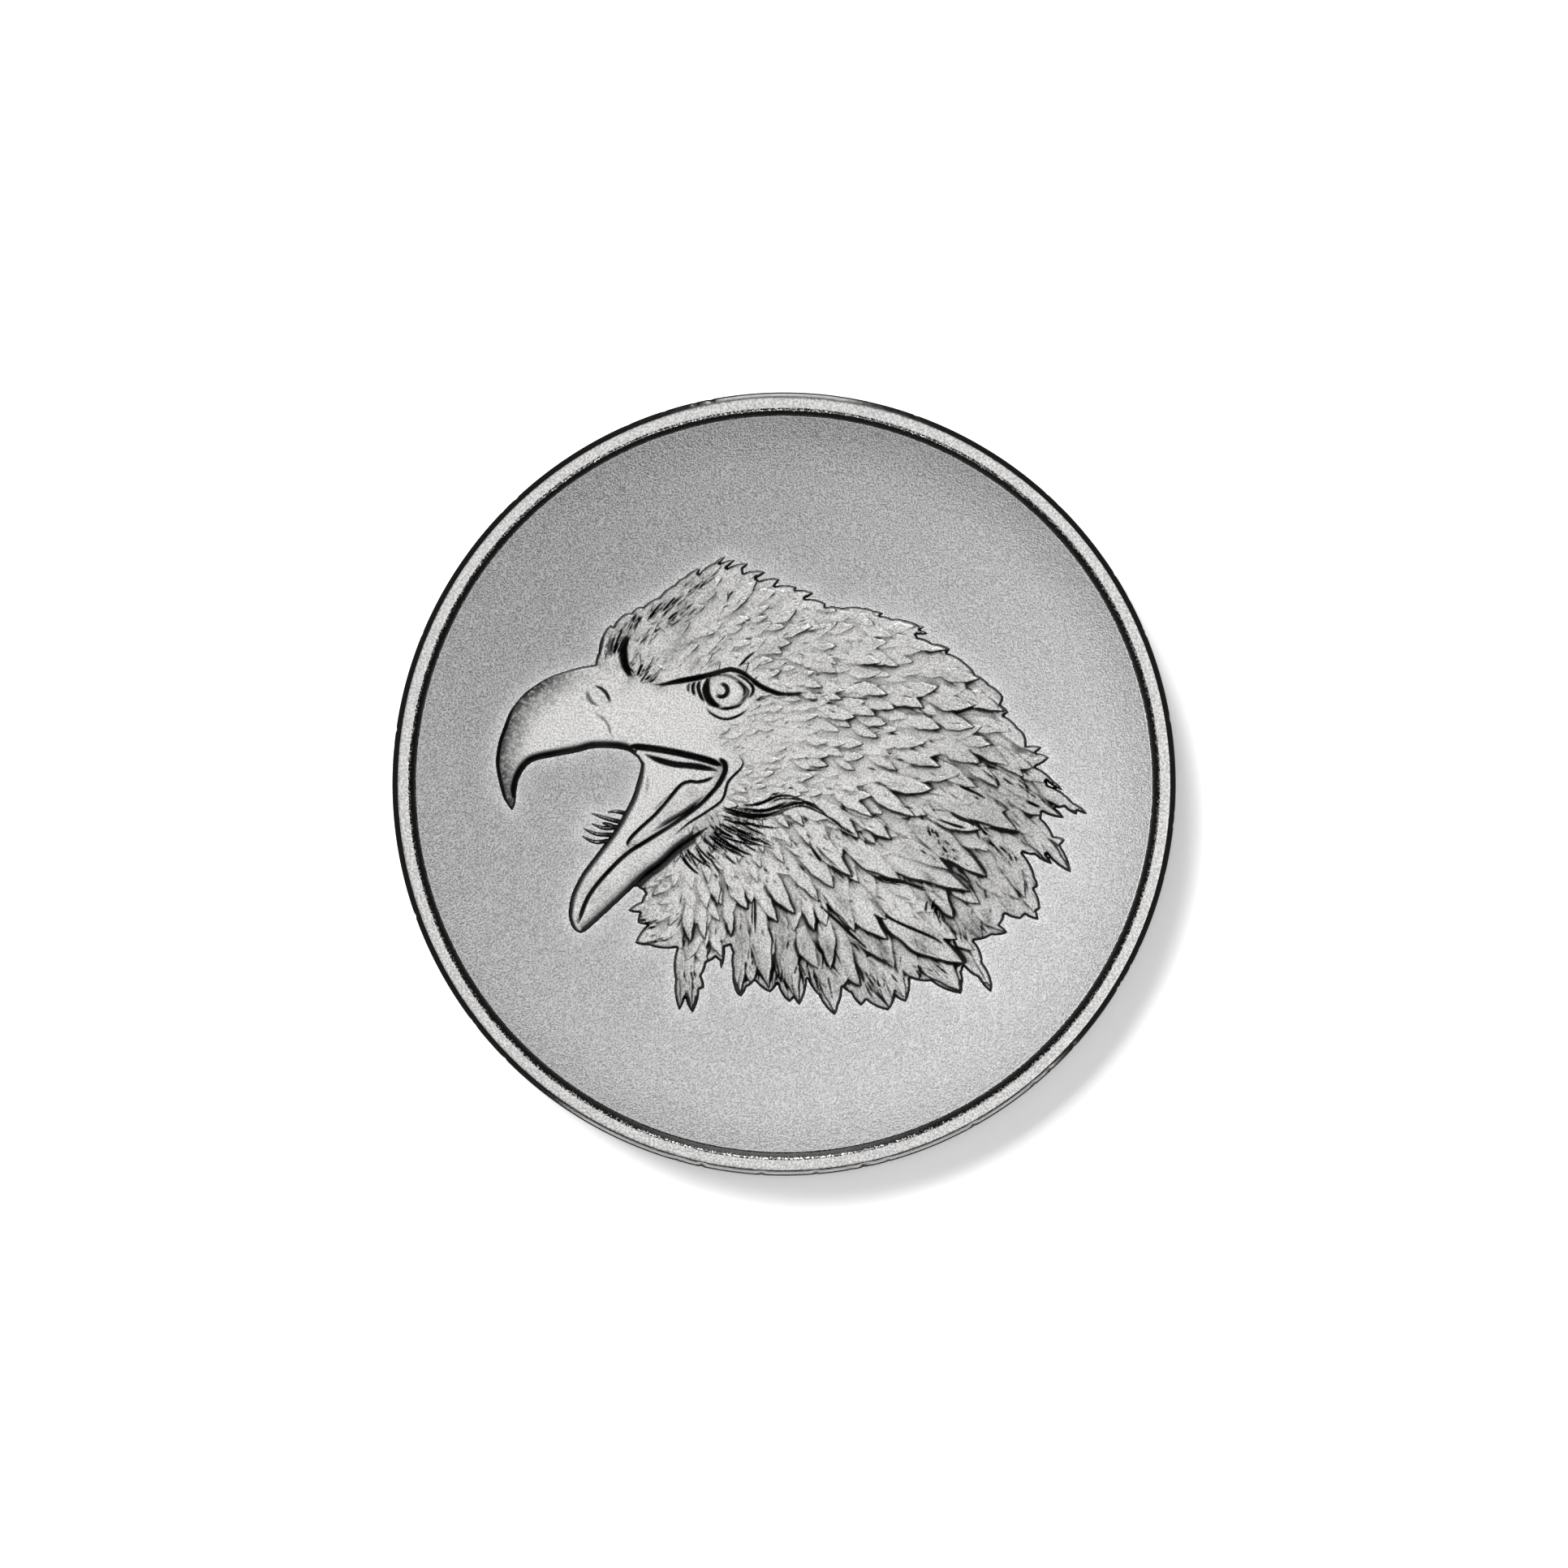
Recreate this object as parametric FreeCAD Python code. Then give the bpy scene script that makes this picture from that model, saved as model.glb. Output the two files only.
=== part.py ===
import FreeCAD
import Part

import math
import os

from FreeCAD import Vector

# Challenge coin, built up from a rim ring, a dished core disc, an applied eagle head, the rivets that
# hold the head, and a reverse disc that covers the rivets.
# The coin lies flat with its eagle side up. The origin is the centre of the plane that the reverse
# rim rests on, +Z points up out of the eagle side, and +Y points to the top of the eagle's head.
# All sizes are in millimetres.

# Driving dimensions
COIN_DIAMETER = 40.0
COIN_THICKNESS = 3.5
RIM_WIDTH = 1.17            # outer edge to the edge of the field
RIM_WALL_REACH = 0.31       # how far the sloping inner wall reaches in from the rim's flat
EDGE_ROUND = 0.2            # rounding of the rim's outer corners
WALL_ROUND = 0.14           # rounding where the rim's flat turns into its inner wall
OBVERSE_WALL = 0.5          # rim flat down to the edge of the eagle side's field
REVERSE_WALL = 0.4          # the same on the reverse

# The eagle side's field is a shallow bowl: a wide cap that turns up in a tighter lip
CAP_RADIUS = 260.0
CAP_REACH = 16.0
LIP_RADIUS = 24.0

# The reverse disc and its field
REVERSE_DISC_EDGE = 0.8
REVERSE_CAP_RADIUS = 800.0

# The ridge on the core that locks it in the ring
RIDGE_HEIGHT = 0.25
RIDGE_CREST = 0.2
RIDGE_FOOT = 0.7

# The applied head
OUTLINE_DIAMETER = 40.0     # diameter of the coin that the head's outlines below are drawn for
HEAD_CLEARANCE = 0.12       # the head's highest point stays this far below the rim
HEAD_DOME_RADIUS = 190.0
HEAD_DOME_CENTRE = (-1.0, 1.5)
MOUTH_DEPTH = 0.4
EYE_CENTRE = (-3.1, 4.75)
EYE_SOCKET_RADIUS = 1.35
EYE_SOCKET_DEPTH = 0.22
EYE_RADIUS = 1.0
NOSTRIL_CENTRE = (-9.45, 4.6)
NOSTRIL_LENGTH = 0.9
NOSTRIL_WIDTH = 0.4
NOSTRIL_DEPTH = 0.2

# The rivets behind the head
RIVET_PLACES = [(-1.5, 7.0), (8.5, 0.5), (1.0, -5.5)]
RIVET_RADIUS = 0.6
RIVET_HEAD_RADIUS = 1.1
RIVET_HEAD_HEIGHT = 0.5
RIVET_BITE = 0.5            # how deep a rivet's shank sits in the back of the head

# The reverse design: a faceted star in a laurel wreath
STAR_POINTS = 5
STAR_OUTER = 5.6
STAR_INNER = 2.3
STAR_HEIGHT = 0.34
WREATH_RADIUS = 12.2
WREATH_HEIGHT = 0.26
LEAF_LENGTH = 3.3
LEAF_WIDTH = 1.25
LEAF_SPREAD = 24.0          # degrees between a leaf and the stem
LEAF_STATIONS = 10
WREATH_START = 12.0         # degrees from the bottom of the coin to the first leaves
WREATH_END = 152.0
STEM_WIDTH = 0.34
STEM_OVERHANG = 6.0         # degrees that a stem runs on past its first and last leaves
STAR_FOOT = 0.04            # height of the star's upright edge above the field at its points

# Values that follow from the driving dimensions
COIN_RADIUS = COIN_DIAMETER / 2
FIELD_RADIUS = COIN_RADIUS - RIM_WIDTH
RIM_INNER = FIELD_RADIUS + RIM_WALL_REACH
FIELD_EDGE_Z = COIN_THICKNESS - OBVERSE_WALL
CORE_BACK_Z = REVERSE_WALL + REVERSE_DISC_EDGE
RIDGE_Z = (FIELD_EDGE_Z + CORE_BACK_Z) / 2
OUTLINE_SCALE = COIN_DIAMETER / OUTLINE_DIAMETER
TOLERANCE = 1e-6


def dish_height(radius):
    """Height of the eagle side's field above its own centre, at a distance from the axis."""
    if radius <= CAP_REACH:
        return CAP_RADIUS - math.sqrt(CAP_RADIUS**2 - radius**2)
    start = math.asin(CAP_REACH / CAP_RADIUS)
    end = math.asin(math.sin(start) + (radius - CAP_REACH) / LIP_RADIUS)
    lip_rise = LIP_RADIUS * (math.cos(start) - math.cos(end))
    return dish_height(CAP_REACH) + lip_rise


def reverse_dish(radius):
    """Height of the reverse disc's outer face above the plane that the coin rests on."""
    drop = REVERSE_CAP_RADIUS - math.sqrt(REVERSE_CAP_RADIUS**2 - radius**2)
    edge_drop = REVERSE_CAP_RADIUS - math.sqrt(REVERSE_CAP_RADIUS**2 - FIELD_RADIUS**2)
    return REVERSE_WALL + edge_drop - drop


FIELD_CENTRE_Z = FIELD_EDGE_Z - dish_height(FIELD_RADIUS)


def line(start, end):
    return Part.makeLine(Vector(start[0], 0, start[1]), Vector(end[0], 0, end[1]))


def arc(start, middle, end):
    points = [Vector(p[0], 0, p[1]) for p in (start, middle, end)]
    return Part.Arc(*points).toShape()


def revolve(edges):
    """Turns a closed profile of edges in the XZ plane round the Z axis."""
    face = Part.Face(Part.Wire(Part.__sortEdges__(edges)))
    return Part.Solid(face.revolve(Vector(0, 0, 0), Vector(0, 0, 1), 360))


def polyline(points):
    return [line(a, b) for a, b in zip(points, points[1:])]


def dish_edges():
    """The eagle side's field in section: one arc for the cap and one for the lip."""

    def at(radius):
        return (radius, FIELD_CENTRE_Z + dish_height(radius))

    cap = arc(at(0), at(CAP_REACH / 2), at(CAP_REACH))
    lip = arc(at(CAP_REACH), at((CAP_REACH + FIELD_RADIUS) / 2), at(FIELD_RADIUS))
    return [cap, lip]


def ridge_points():
    """The core's locking ridge in section, from bottom to top."""
    crest = FIELD_RADIUS + RIDGE_HEIGHT
    return [
        (FIELD_RADIUS, RIDGE_Z - RIDGE_FOOT / 2),
        (crest, RIDGE_Z - RIDGE_CREST / 2),
        (crest, RIDGE_Z + RIDGE_CREST / 2),
        (FIELD_RADIUS, RIDGE_Z + RIDGE_FOOT / 2),
    ]


def round_edges(solid, radius, ring_radius):
    """Fillets the circular edges of a solid that lie at one distance from the axis."""
    chosen = [
        edge
        for edge in solid.Edges
        if edge.Curve.TypeId == "Part::GeomCircle"
        and abs(edge.Curve.Radius - ring_radius) < TOLERANCE
    ]
    return solid.makeFillet(radius, chosen)


def make_rim_ring():
    """The outer ring: both raised rims, the edge of the coin, and the bore round the core."""
    points = [(FIELD_RADIUS, REVERSE_WALL)]
    points += ridge_points()
    points += [
        (FIELD_RADIUS, FIELD_EDGE_Z),
        (RIM_INNER, COIN_THICKNESS),
        (COIN_RADIUS, COIN_THICKNESS),
        (COIN_RADIUS, 0),
        (RIM_INNER, 0),
        (FIELD_RADIUS, REVERSE_WALL),
    ]
    ring = revolve(polyline(points))
    ring = round_edges(ring, WALL_ROUND, RIM_INNER)
    return round_edges(ring, EDGE_ROUND, COIN_RADIUS)


def make_core_blank():
    """The dished centre disc before it is drilled for the rivets."""
    points = [(0, FIELD_CENTRE_Z), (0, CORE_BACK_Z), (FIELD_RADIUS, CORE_BACK_Z)]
    points += ridge_points()
    points += [(FIELD_RADIUS, FIELD_EDGE_Z)]
    return revolve(polyline(points) + dish_edges())


def make_rivets():
    """Countersunk rivets, flush with the back of the core, that reach into the head."""
    rivets = []
    for x, y in RIVET_PLACES:
        foot = Vector(x * OUTLINE_SCALE, y * OUTLINE_SCALE, CORE_BACK_Z)
        field_z = FIELD_CENTRE_Z + dish_height(math.hypot(foot.x, foot.y))
        length = field_z + RIVET_BITE - CORE_BACK_Z
        shank = Part.makeCylinder(RIVET_RADIUS, length, foot)
        head = Part.makeCone(RIVET_HEAD_RADIUS, RIVET_RADIUS, RIVET_HEAD_HEIGHT, foot)
        rivets.append(shank.fuse(head).removeSplitter())
    return Part.makeCompound(rivets)


# The head's outline, counted clockwise from the tip of the hook. A "curve" is smooth through its
# points and "tips" is a run of straight edges between feather tips and the notches between them.
HEAD_OUTLINE = [
    ("curve", [(-13.9, -1.35), (-14.45, -0.3), (-14.72, 1.2), (-14.5, 2.8), (-13.5, 4.5),
               (-12.0, 5.5), (-10.3, 6.0), (-9.6, 6.15)]),
    ("curve", [(-9.6, 6.15), (-9.3, 7.6), (-8.4, 8.55), (-7.2, 9.05), (-5.8, 10.0),
               (-4.3, 11.0), (-2.95, 11.6)]),
    ("tips", [(-2.95, 11.6), (-2.9, 11.1), (-1.8, 11.3), (-1.5, 10.6), (-0.2, 10.5), (0.1, 10.05),
              (1.55, 9.75), (1.7, 9.3), (3.2, 9.0), (5.15, 8.7), (7.3, 7.9), (7.1, 7.5),
              (8.5, 6.9), (8.7, 6.5), (10.2, 5.4), (11.2, 4.4), (11.4, 3.5), (12.3, 2.4),
              (13.5, 1.35), (12.9, 0.9), (15.5, -1.55), (13.8, -1.2), (14.3, -1.7), (13.2, -1.5),
              (13.5, -2.4), (14.3, -2.9), (14.7, -4.5), (13.4, -3.6), (13.6, -4.1), (12.2, -3.5),
              (12.9, -4.9), (12.8, -5.4), (13.0, -6.9), (12.0, -6.9), (11.2, -6.7), (11.1, -7.3),
              (11.4, -7.5), (9.7, -8.0), (10.2, -9.2), (10.6, -10.6), (9.4, -9.3), (9.1, -9.4),
              (9.05, -10.7), (7.2, -10.1), (6.4, -9.95), (6.25, -11.1), (5.7, -10.9),
              (5.4, -11.6), (4.4, -11.1), (3.9, -11.3), (3.0, -10.4), (2.6, -11.8),
              (1.2, -10.0), (0.9, -11.2), (0.3, -11.1), (-0.3, -10.2), (-0.7, -10.6),
              (-1.5, -10.1), (-2.2, -10.8), (-2.6, -10.4), (-2.7, -8.4), (-3.2, -9.4),
              (-3.7, -8.9), (-4.1, -9.4), (-4.3, -10.9), (-4.7, -11.6), (-5.0, -10.9),
              (-5.4, -11.5), (-5.6, -9.5), (-5.4, -8.4), (-7.6, -8.15), (-7.0, -7.1),
              (-7.45, -6.9), (-7.4, -6.6), (-7.9, -6.45), (-7.1, -5.6), (-7.7, -5.2)]),
    ("curve", [(-7.7, -5.2), (-8.6, -6.05), (-9.5, -6.95), (-10.2, -7.5), (-10.6, -7.55),
               (-10.95, -7.1), (-11.0, -6.1), (-10.6, -5.0), (-9.3, -3.2), (-8.2, -1.6),
               (-7.55, -0.2), (-7.3, 0.7)]),
    ("curve", [(-7.3, 0.7), (-7.5, 1.4), (-8.4, 1.78), (-10.0, 1.78), (-11.4, 1.45),
               (-12.6, 1.17), (-13.3, 0.7), (-13.65, -0.1), (-13.75, -1.0), (-13.9, -1.35)]),
]

MOUTH_OUTLINE = [
    ("curve", [(-7.2, 0.8), (-7.1, 1.4), (-6.0, 1.35), (-4.6, 1.15), (-3.3, 0.9)]),
    ("curve", [(-3.3, 0.9), (-3.2, 0.2), (-3.9, -0.8), (-5.6, -1.95), (-8.0, -3.5),
               (-9.3, -4.75), (-10.1, -5.9), (-10.45, -7.2)]),
    ("curve", [(-10.45, -7.2), (-10.8, -6.4), (-10.3, -4.9), (-8.9, -2.9), (-7.9, -1.2),
               (-7.2, 0.8)]),
]

TONGUE_OUTLINE = [
    ("curve", [(-7.8, -3.2), (-7.6, -2.6), (-6.6, -1.6), (-5.7, -0.4), (-4.9, 0.1),
               (-4.2, 0.1)]),
    ("curve", [(-4.2, 0.1), (-4.15, -0.45), (-4.8, -1.2), (-6.2, -2.15), (-7.8, -3.2)]),
]


def outline_face(runs):
    """A flat face at z = 0 from an outline's smooth and straight runs."""
    edges = []
    for kind, points in runs:
        places = [Vector(x * OUTLINE_SCALE, y * OUTLINE_SCALE, 0) for x, y in points]
        if kind == "curve":
            curve = Part.BSplineCurve()
            curve.interpolate(places)
            edges.append(curve.toShape())
        else:
            edges += [Part.makeLine(a, b) for a, b in zip(places, places[1:])]
    return Part.Face(Part.Wire(edges))


def prism(face, bottom, top):
    """A face at z = 0 as a solid between two heights."""
    raised = face.translated(Vector(0, 0, bottom))
    return raised.extrude(Vector(0, 0, top - bottom))


def dome(top, radius, centre):
    """A large ball that crowns a relief: its highest point is at the given height and centre."""
    x, y = (v * OUTLINE_SCALE for v in centre)
    return Part.makeSphere(radius, Vector(x, y, top - radius))


def make_eagle_head(core_blank, rivets):
    """The applied head: crowned, seated on the dished field, open at the mouth, with blind holes."""
    top = COIN_THICKNESS - HEAD_CLEARANCE
    head = prism(outline_face(HEAD_OUTLINE), CORE_BACK_Z, COIN_THICKNESS)
    head = head.common(dome(top, HEAD_DOME_RADIUS, HEAD_DOME_CENTRE)).cut(core_blank)

    mouth = prism(outline_face(MOUTH_OUTLINE), top - MOUTH_DEPTH, COIN_THICKNESS)
    tongue = prism(outline_face(TONGUE_OUTLINE), CORE_BACK_Z, top - MOUTH_DEPTH / 2)
    head = head.cut(mouth).fuse(tongue.cut(core_blank))

    eye = Vector(EYE_CENTRE[0] * OUTLINE_SCALE, EYE_CENTRE[1] * OUTLINE_SCALE, 0)
    socket_z = top - EYE_SOCKET_DEPTH
    socket = Part.makeCylinder(EYE_SOCKET_RADIUS, COIN_THICKNESS, eye + Vector(0, 0, socket_z))
    eyeball = Part.makeSphere(EYE_RADIUS, eye + Vector(0, 0, top - EYE_RADIUS))
    head = head.cut(socket).fuse(eyeball.cut(core_blank))

    nostril = Vector(NOSTRIL_CENTRE[0] * OUTLINE_SCALE, NOSTRIL_CENTRE[1] * OUTLINE_SCALE, 0)
    slot = Part.makeBox(NOSTRIL_WIDTH, NOSTRIL_LENGTH, NOSTRIL_DEPTH * 2)
    slot.translate(nostril + Vector(-NOSTRIL_WIDTH / 2, -NOSTRIL_LENGTH / 2, top - 2 * NOSTRIL_DEPTH))
    return head.cut(slot).cut(rivets).removeSplitter()


def make_star():
    """A five-pointed star with a ridge down each point, standing out of the reverse."""
    base_z = reverse_dish(STAR_OUTER) - STAR_FOOT
    apex = Vector(0, 0, base_z - STAR_HEIGHT)
    corners = []
    for k in range(2 * STAR_POINTS):
        radius = STAR_OUTER if k % 2 == 0 else STAR_INNER
        angle = math.pi / 2 + math.pi / STAR_POINTS * k
        corners.append(Vector(radius * math.cos(angle), radius * math.sin(angle), base_z))
    closed = corners + corners[:1]
    faces = []
    for a, b in zip(closed, closed[1:]):
        faces.append(Part.Face(Part.makePolygon([apex, a, b, apex])))
    faces.append(Part.Face(Part.makePolygon(closed)))
    facets = Part.Solid(Part.Shell(faces))
    root = Part.Face(Part.makePolygon(closed)).extrude(Vector(0, 0, REVERSE_DISC_EDGE / 2))
    return facets.fuse(root)


def make_leaf(angle, side):
    """One laurel leaf. The angle is its place on the wreath, counted from the coin's bottom."""
    half = LEAF_LENGTH / 2
    reach = LEAF_WIDTH / 2
    tip_a, tip_b = Vector(-half, 0, 0), Vector(half, 0, 0)
    upper = Part.Arc(tip_a, Vector(0, reach, 0), tip_b).toShape()
    lower = Part.Arc(tip_b, Vector(0, -reach, 0), tip_a).toShape()
    leaf = Part.Face(Part.Wire([upper, lower]))
    depth = reverse_dish(WREATH_RADIUS) - WREATH_HEIGHT
    leaf = prism(leaf, depth, reverse_dish(0) + REVERSE_DISC_EDGE / 2)
    leaf.translate(Vector(half, 0, 0))
    leaf.rotate(Vector(0, 0, 0), Vector(0, 0, 1), side * LEAF_SPREAD)
    leaf.translate(Vector(0, -WREATH_RADIUS, 0))
    leaf.rotate(Vector(0, 0, 0), Vector(0, 0, 1), angle)
    return leaf


def make_stem(start, end):
    """The curved stem of one laurel branch."""
    depth = reverse_dish(WREATH_RADIUS) - WREATH_HEIGHT / 2
    foot = Vector(0, 0, depth)
    up = Vector(0, 0, 1)
    outer = Part.makeCylinder(WREATH_RADIUS + STEM_WIDTH / 2, REVERSE_DISC_EDGE, foot, up, end - start)
    inner = Part.makeCylinder(WREATH_RADIUS - STEM_WIDTH / 2, REVERSE_DISC_EDGE, foot)
    stem = outer.cut(inner)
    stem.rotate(Vector(0, 0, 0), Vector(0, 0, 1), start - 90)
    return stem.common(Part.makeCylinder(COIN_RADIUS, REVERSE_DISC_EDGE))


def make_reverse_disc():
    """The disc that closes the back, with its struck star and wreath."""
    edge, middle, centre = ((r, reverse_dish(r)) for r in (FIELD_RADIUS, FIELD_RADIUS / 2, 0))
    back = (0, CORE_BACK_Z)
    corner = (FIELD_RADIUS, CORE_BACK_Z)
    disc = revolve([arc(centre, middle, edge), line(edge, corner), line(corner, back), line(back, centre)])
    step = (WREATH_END - WREATH_START) / (LEAF_STATIONS - 1)
    branch = [make_stem(WREATH_START - STEM_OVERHANG, WREATH_END + STEM_OVERHANG)]
    for k in range(LEAF_STATIONS):
        angle = WREATH_START + k * step
        branch += [make_leaf(angle, side) for side in (-1, 1)]
    mirrored = [leaf.mirror(Vector(0, 0, 0), Vector(1, 0, 0)) for leaf in branch]
    return disc.fuse([make_star()] + branch + mirrored).removeSplitter()


def main():
    os.makedirs("parts", exist_ok=True)
    core_blank = make_core_blank()
    rivets = make_rivets()
    nodes = {
        "rim_ring": make_rim_ring(),
        "core_disc": core_blank.cut(rivets),
        "eagle_head": make_eagle_head(core_blank, rivets),
        "head_rivets": rivets,
        "reverse_disc": make_reverse_disc(),
    }
    for name, shape in nodes.items():
        print(name, shape.isValid(), len(shape.Solids), round(shape.Volume, 2))
        shape.exportStep(f"parts/{name}.step")


main()
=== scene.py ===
import math

import bpy
import numpy as np
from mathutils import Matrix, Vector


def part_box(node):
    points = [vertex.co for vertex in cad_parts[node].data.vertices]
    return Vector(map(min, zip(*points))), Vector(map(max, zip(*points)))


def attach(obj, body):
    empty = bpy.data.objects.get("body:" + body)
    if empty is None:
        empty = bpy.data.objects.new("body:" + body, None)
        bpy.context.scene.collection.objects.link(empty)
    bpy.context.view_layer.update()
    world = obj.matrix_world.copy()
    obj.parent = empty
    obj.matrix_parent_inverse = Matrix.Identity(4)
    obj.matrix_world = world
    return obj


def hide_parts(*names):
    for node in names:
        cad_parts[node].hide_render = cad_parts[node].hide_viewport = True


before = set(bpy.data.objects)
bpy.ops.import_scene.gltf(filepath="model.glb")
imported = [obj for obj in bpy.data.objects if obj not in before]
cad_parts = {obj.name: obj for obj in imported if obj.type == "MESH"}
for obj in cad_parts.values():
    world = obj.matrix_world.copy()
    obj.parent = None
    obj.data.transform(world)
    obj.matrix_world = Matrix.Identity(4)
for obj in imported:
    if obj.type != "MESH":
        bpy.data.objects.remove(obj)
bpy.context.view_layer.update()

# Challenge coin with an eagle's head in high relief. Lengths are in millimetres until a mesh is made.
# The coin lies flat, eagle side up, in the CAD frame: +Z up, +Y to the top of the head, beak to -X.

MM = 0.001
SEED = 7
TINY = 1e-9                 # keeps a division away from zero

# Sizes read from the CAD frame
COIN_RADIUS, _, COIN_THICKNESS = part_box("rim_ring")[1] / MM
FIELD_RADIUS = (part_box("reverse_disc")[1] / MM).x
FIELD_EDGE_Z = (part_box("core_disc")[1] / MM).z
CORE_BACK_Z = (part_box("core_disc")[0] / MM).z

# The eagle side's field: a wide cap that turns up in a tighter lip
CAP_RADIUS = 260.0
CAP_REACH = 16.0
LIP_RADIUS = 24.0

# ---- the eagle's head: sizes and lines -------------------------------------------------------------

GRID = 0.04                 # spacing of the relief's height samples
LEFT, RIGHT, BOTTOM, TOP = -16.0, 17.0, -13.2, 13.2
X, Y = np.meshgrid(np.arange(LEFT, RIGHT, GRID), np.arange(BOTTOM, TOP, GRID))

WALL = 0.14                 # width of the steep wall round the head
LEAST_HEIGHT = 0.08         # the relief is never lower than this, except on that wall
EDGE_HEIGHT = 0.3           # height of the head above the field, just inside the wall
BODY_HEIGHT = 0.5           # what the head's rounding adds further in
BODY_REACH = 1.3            # how far in the rounding reaches on the feathered part
BEAK_REACH = 0.85           # the same on the beak, counted from its upper edge
FAR = 4.0                   # distances to the head's outline are measured up to this
OUTER_DROP = 0.28           # share of its height that the relief has lost at DROP_RADIUS
DROP_RADIUS = 15.0
LIGHT_SIDE = (-0.5, 0.87)   # the side from which feathers overlap least

FEATHER_TRIES = 16000
FEATHER_SPACING = 0.4       # least distance between two small feathers, as a share of their length
HAIR_TRIES = 2200

# The head's outline, from the hook's tip over the crown and back along the neck and the lower jaw
CULMEN = [
    (-13.89, -1.4), (-14.18, -1), (-14.42, -0.5), (-14.72, 0.85), (-14.63, 2), (-14.3, 3), (-14, 3.72),
    (-13.5, 4.38), (-13, 4.85), (-12, 5.47), (-11, 5.82), (-10.4, 5.98), (-9.65, 6.12)
]
CROWN = [
    (-9.65, 6.12), (-9.49, 6.7), (-9.2, 7.75), (-8.87, 8.13), (-8.73, 8.05), (-8.3, 8.59), (-8.04, 8.73),
    (-7.8, 8.75), (-7.4, 9.07), (-7.2, 9.05), (-6.39, 9.54), (-5.6, 10.19), (-5.09, 10.58), (-4.27, 11.06),
    (-4.36, 10.73), (-3.54, 11.33), (-2.95, 11.69), (-3.27, 11.27), (-2.46, 11.49), (-2.91, 11.04),
    (-1.78, 11.31), (-2.08, 10.98), (-2.05, 10.78), (-1.6, 10.9), (-0.92, 10.83), (-1.4, 10.5),
    (-1.25, 10.4), (-0.19, 10.5), (-0.43, 10.13), (0.65, 10.08), (0.62, 9.92), (1.55, 9.77), (1.1, 9.48),
    (2.13, 9.25), (2.15, 9.05), (3, 9), (4, 9.02), (4.6, 8.85), (5.1, 8.73), (4.95, 8.6), (5.5, 8.45),
    (6.2, 8.37), (6.95, 8.08), (7.22, 8.06), (6.97, 7.89), (7.4, 7.67), (6.78, 7.62), (6.85, 7.5),
    (7.6, 7.2), (8.5, 6.91)
]
BACK = [
    (8.5, 6.91), (8.35, 6.7), (9.33, 6.15), (9.8, 5.6), (10.5, 5.09), (11.23, 4.46), (11.1, 4.05),
    (11.5, 3.66), (11.25, 3.5), (12, 2.85), (12.32, 2.52), (12.4, 1.95), (13.19, 1.9), (12.9, 1.6),
    (13.58, 1.35), (12.87, 0.87), (13.8, 0.15), (14.28, -0.35), (13.4, 0.14), (13.5, -0.05), (14.8, -0.95),
    (15.55, -1.56), (14.99, -1.4), (14.96, -1.6), (14.3, -1.2), (13.88, -1.23), (14.34, -1.76),
    (13.19, -1.46), (13.15, -1.75), (13.78, -2.65), (14.37, -2.84), (14.13, -3.14), (14.69, -4.57),
    (13.4, -3.59), (13.71, -4.13), (12.8, -3.65), (12.21, -3.53), (12.86, -4.79), (13, -5.23),
    (12.8, -5.35), (13.12, -6.35), (12.9, -6.5), (13.02, -6.96), (12.3, -6.7), (12.06, -6.92),
    (11.29, -6.67), (11.05, -7.2), (11.45, -7.6), (10.6, -7.75), (9.72, -8.01), (10.1, -8.67),
    (10.15, -9.1), (10.65, -10.2), (10.58, -10.66), (9.9, -9.9), (9.18, -9.34)
]
NECK = [
    (9.18, -9.34), (9.1, -9.6), (9.14, -10.28), (9.05, -10.74), (7.5, -10.1), (6.47, -9.95), (6.25, -11.15),
    (5.7, -10.9), (5.33, -11.59), (4.2, -11.07), (3.92, -11.35), (3.4, -10.7), (3, -10.4), (2.8, -11.3),
    (2.59, -11.85), (1.75, -10.8), (1.2, -9.99), (0.79, -11.33), (0.5, -10.95), (0.27, -11.17),
    (-0.15, -10.7), (-0.33, -10.23), (-0.72, -10.67), (-1.5, -10.07), (-1.9, -10.4), (-2.19, -10.88),
    (-2.45, -10.7), (-2.65, -9.5), (-2.65, -8.6), (-2.77, -8.27), (-3, -8.35), (-3.2, -9.5), (-3.3, -9.05),
    (-3.5, -8.88), (-3.95, -9.15), (-4.2, -9.8), (-4.05, -10.42), (-4.3, -10.5), (-4.67, -11.73),
    (-5.05, -10.93), (-5.37, -11.6), (-5.58, -10), (-5.5, -8.4), (-6.9, -8.27), (-7.63, -8.13), (-7, -7.2),
    (-7.5, -7.1), (-7.4, -6.6), (-8, -6.47), (-7.3, -6), (-7.1, -5.6), (-7.2, -5.45), (-7.5, -5.25),
    (-7.67, -5.27)
]
JAW_UNDER = [(-7.67, -5.27), (-8, -5.6), (-9, -6.53), (-9.7, -7.17), (-10.15, -7.55), (-10.41, -7.65)]
JAW_FRONT = [
    (-10.41, -7.65), (-10.7, -7.47), (-10.9, -7.17), (-11.01, -6.67), (-10.89, -5.73), (-10.37, -4.63),
    (-9.5, -3.45), (-8.7, -2.37), (-8.09, -1.3), (-7.71, -0.5), (-7.33, 0.86), (-7.35, 1.07), (-7.49, 1.34)
]
BEAK_UNDER = [
    (-7.49, 1.34), (-8, 1.67), (-8.75, 1.8), (-9.75, 1.8), (-10.5, 1.61), (-11.5, 1.42), (-12.5, 1.22),
    (-13, 1), (-13.4, 0.5), (-13.63, -0.2), (-13.71, -1), (-13.89, -1.4)
]

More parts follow.
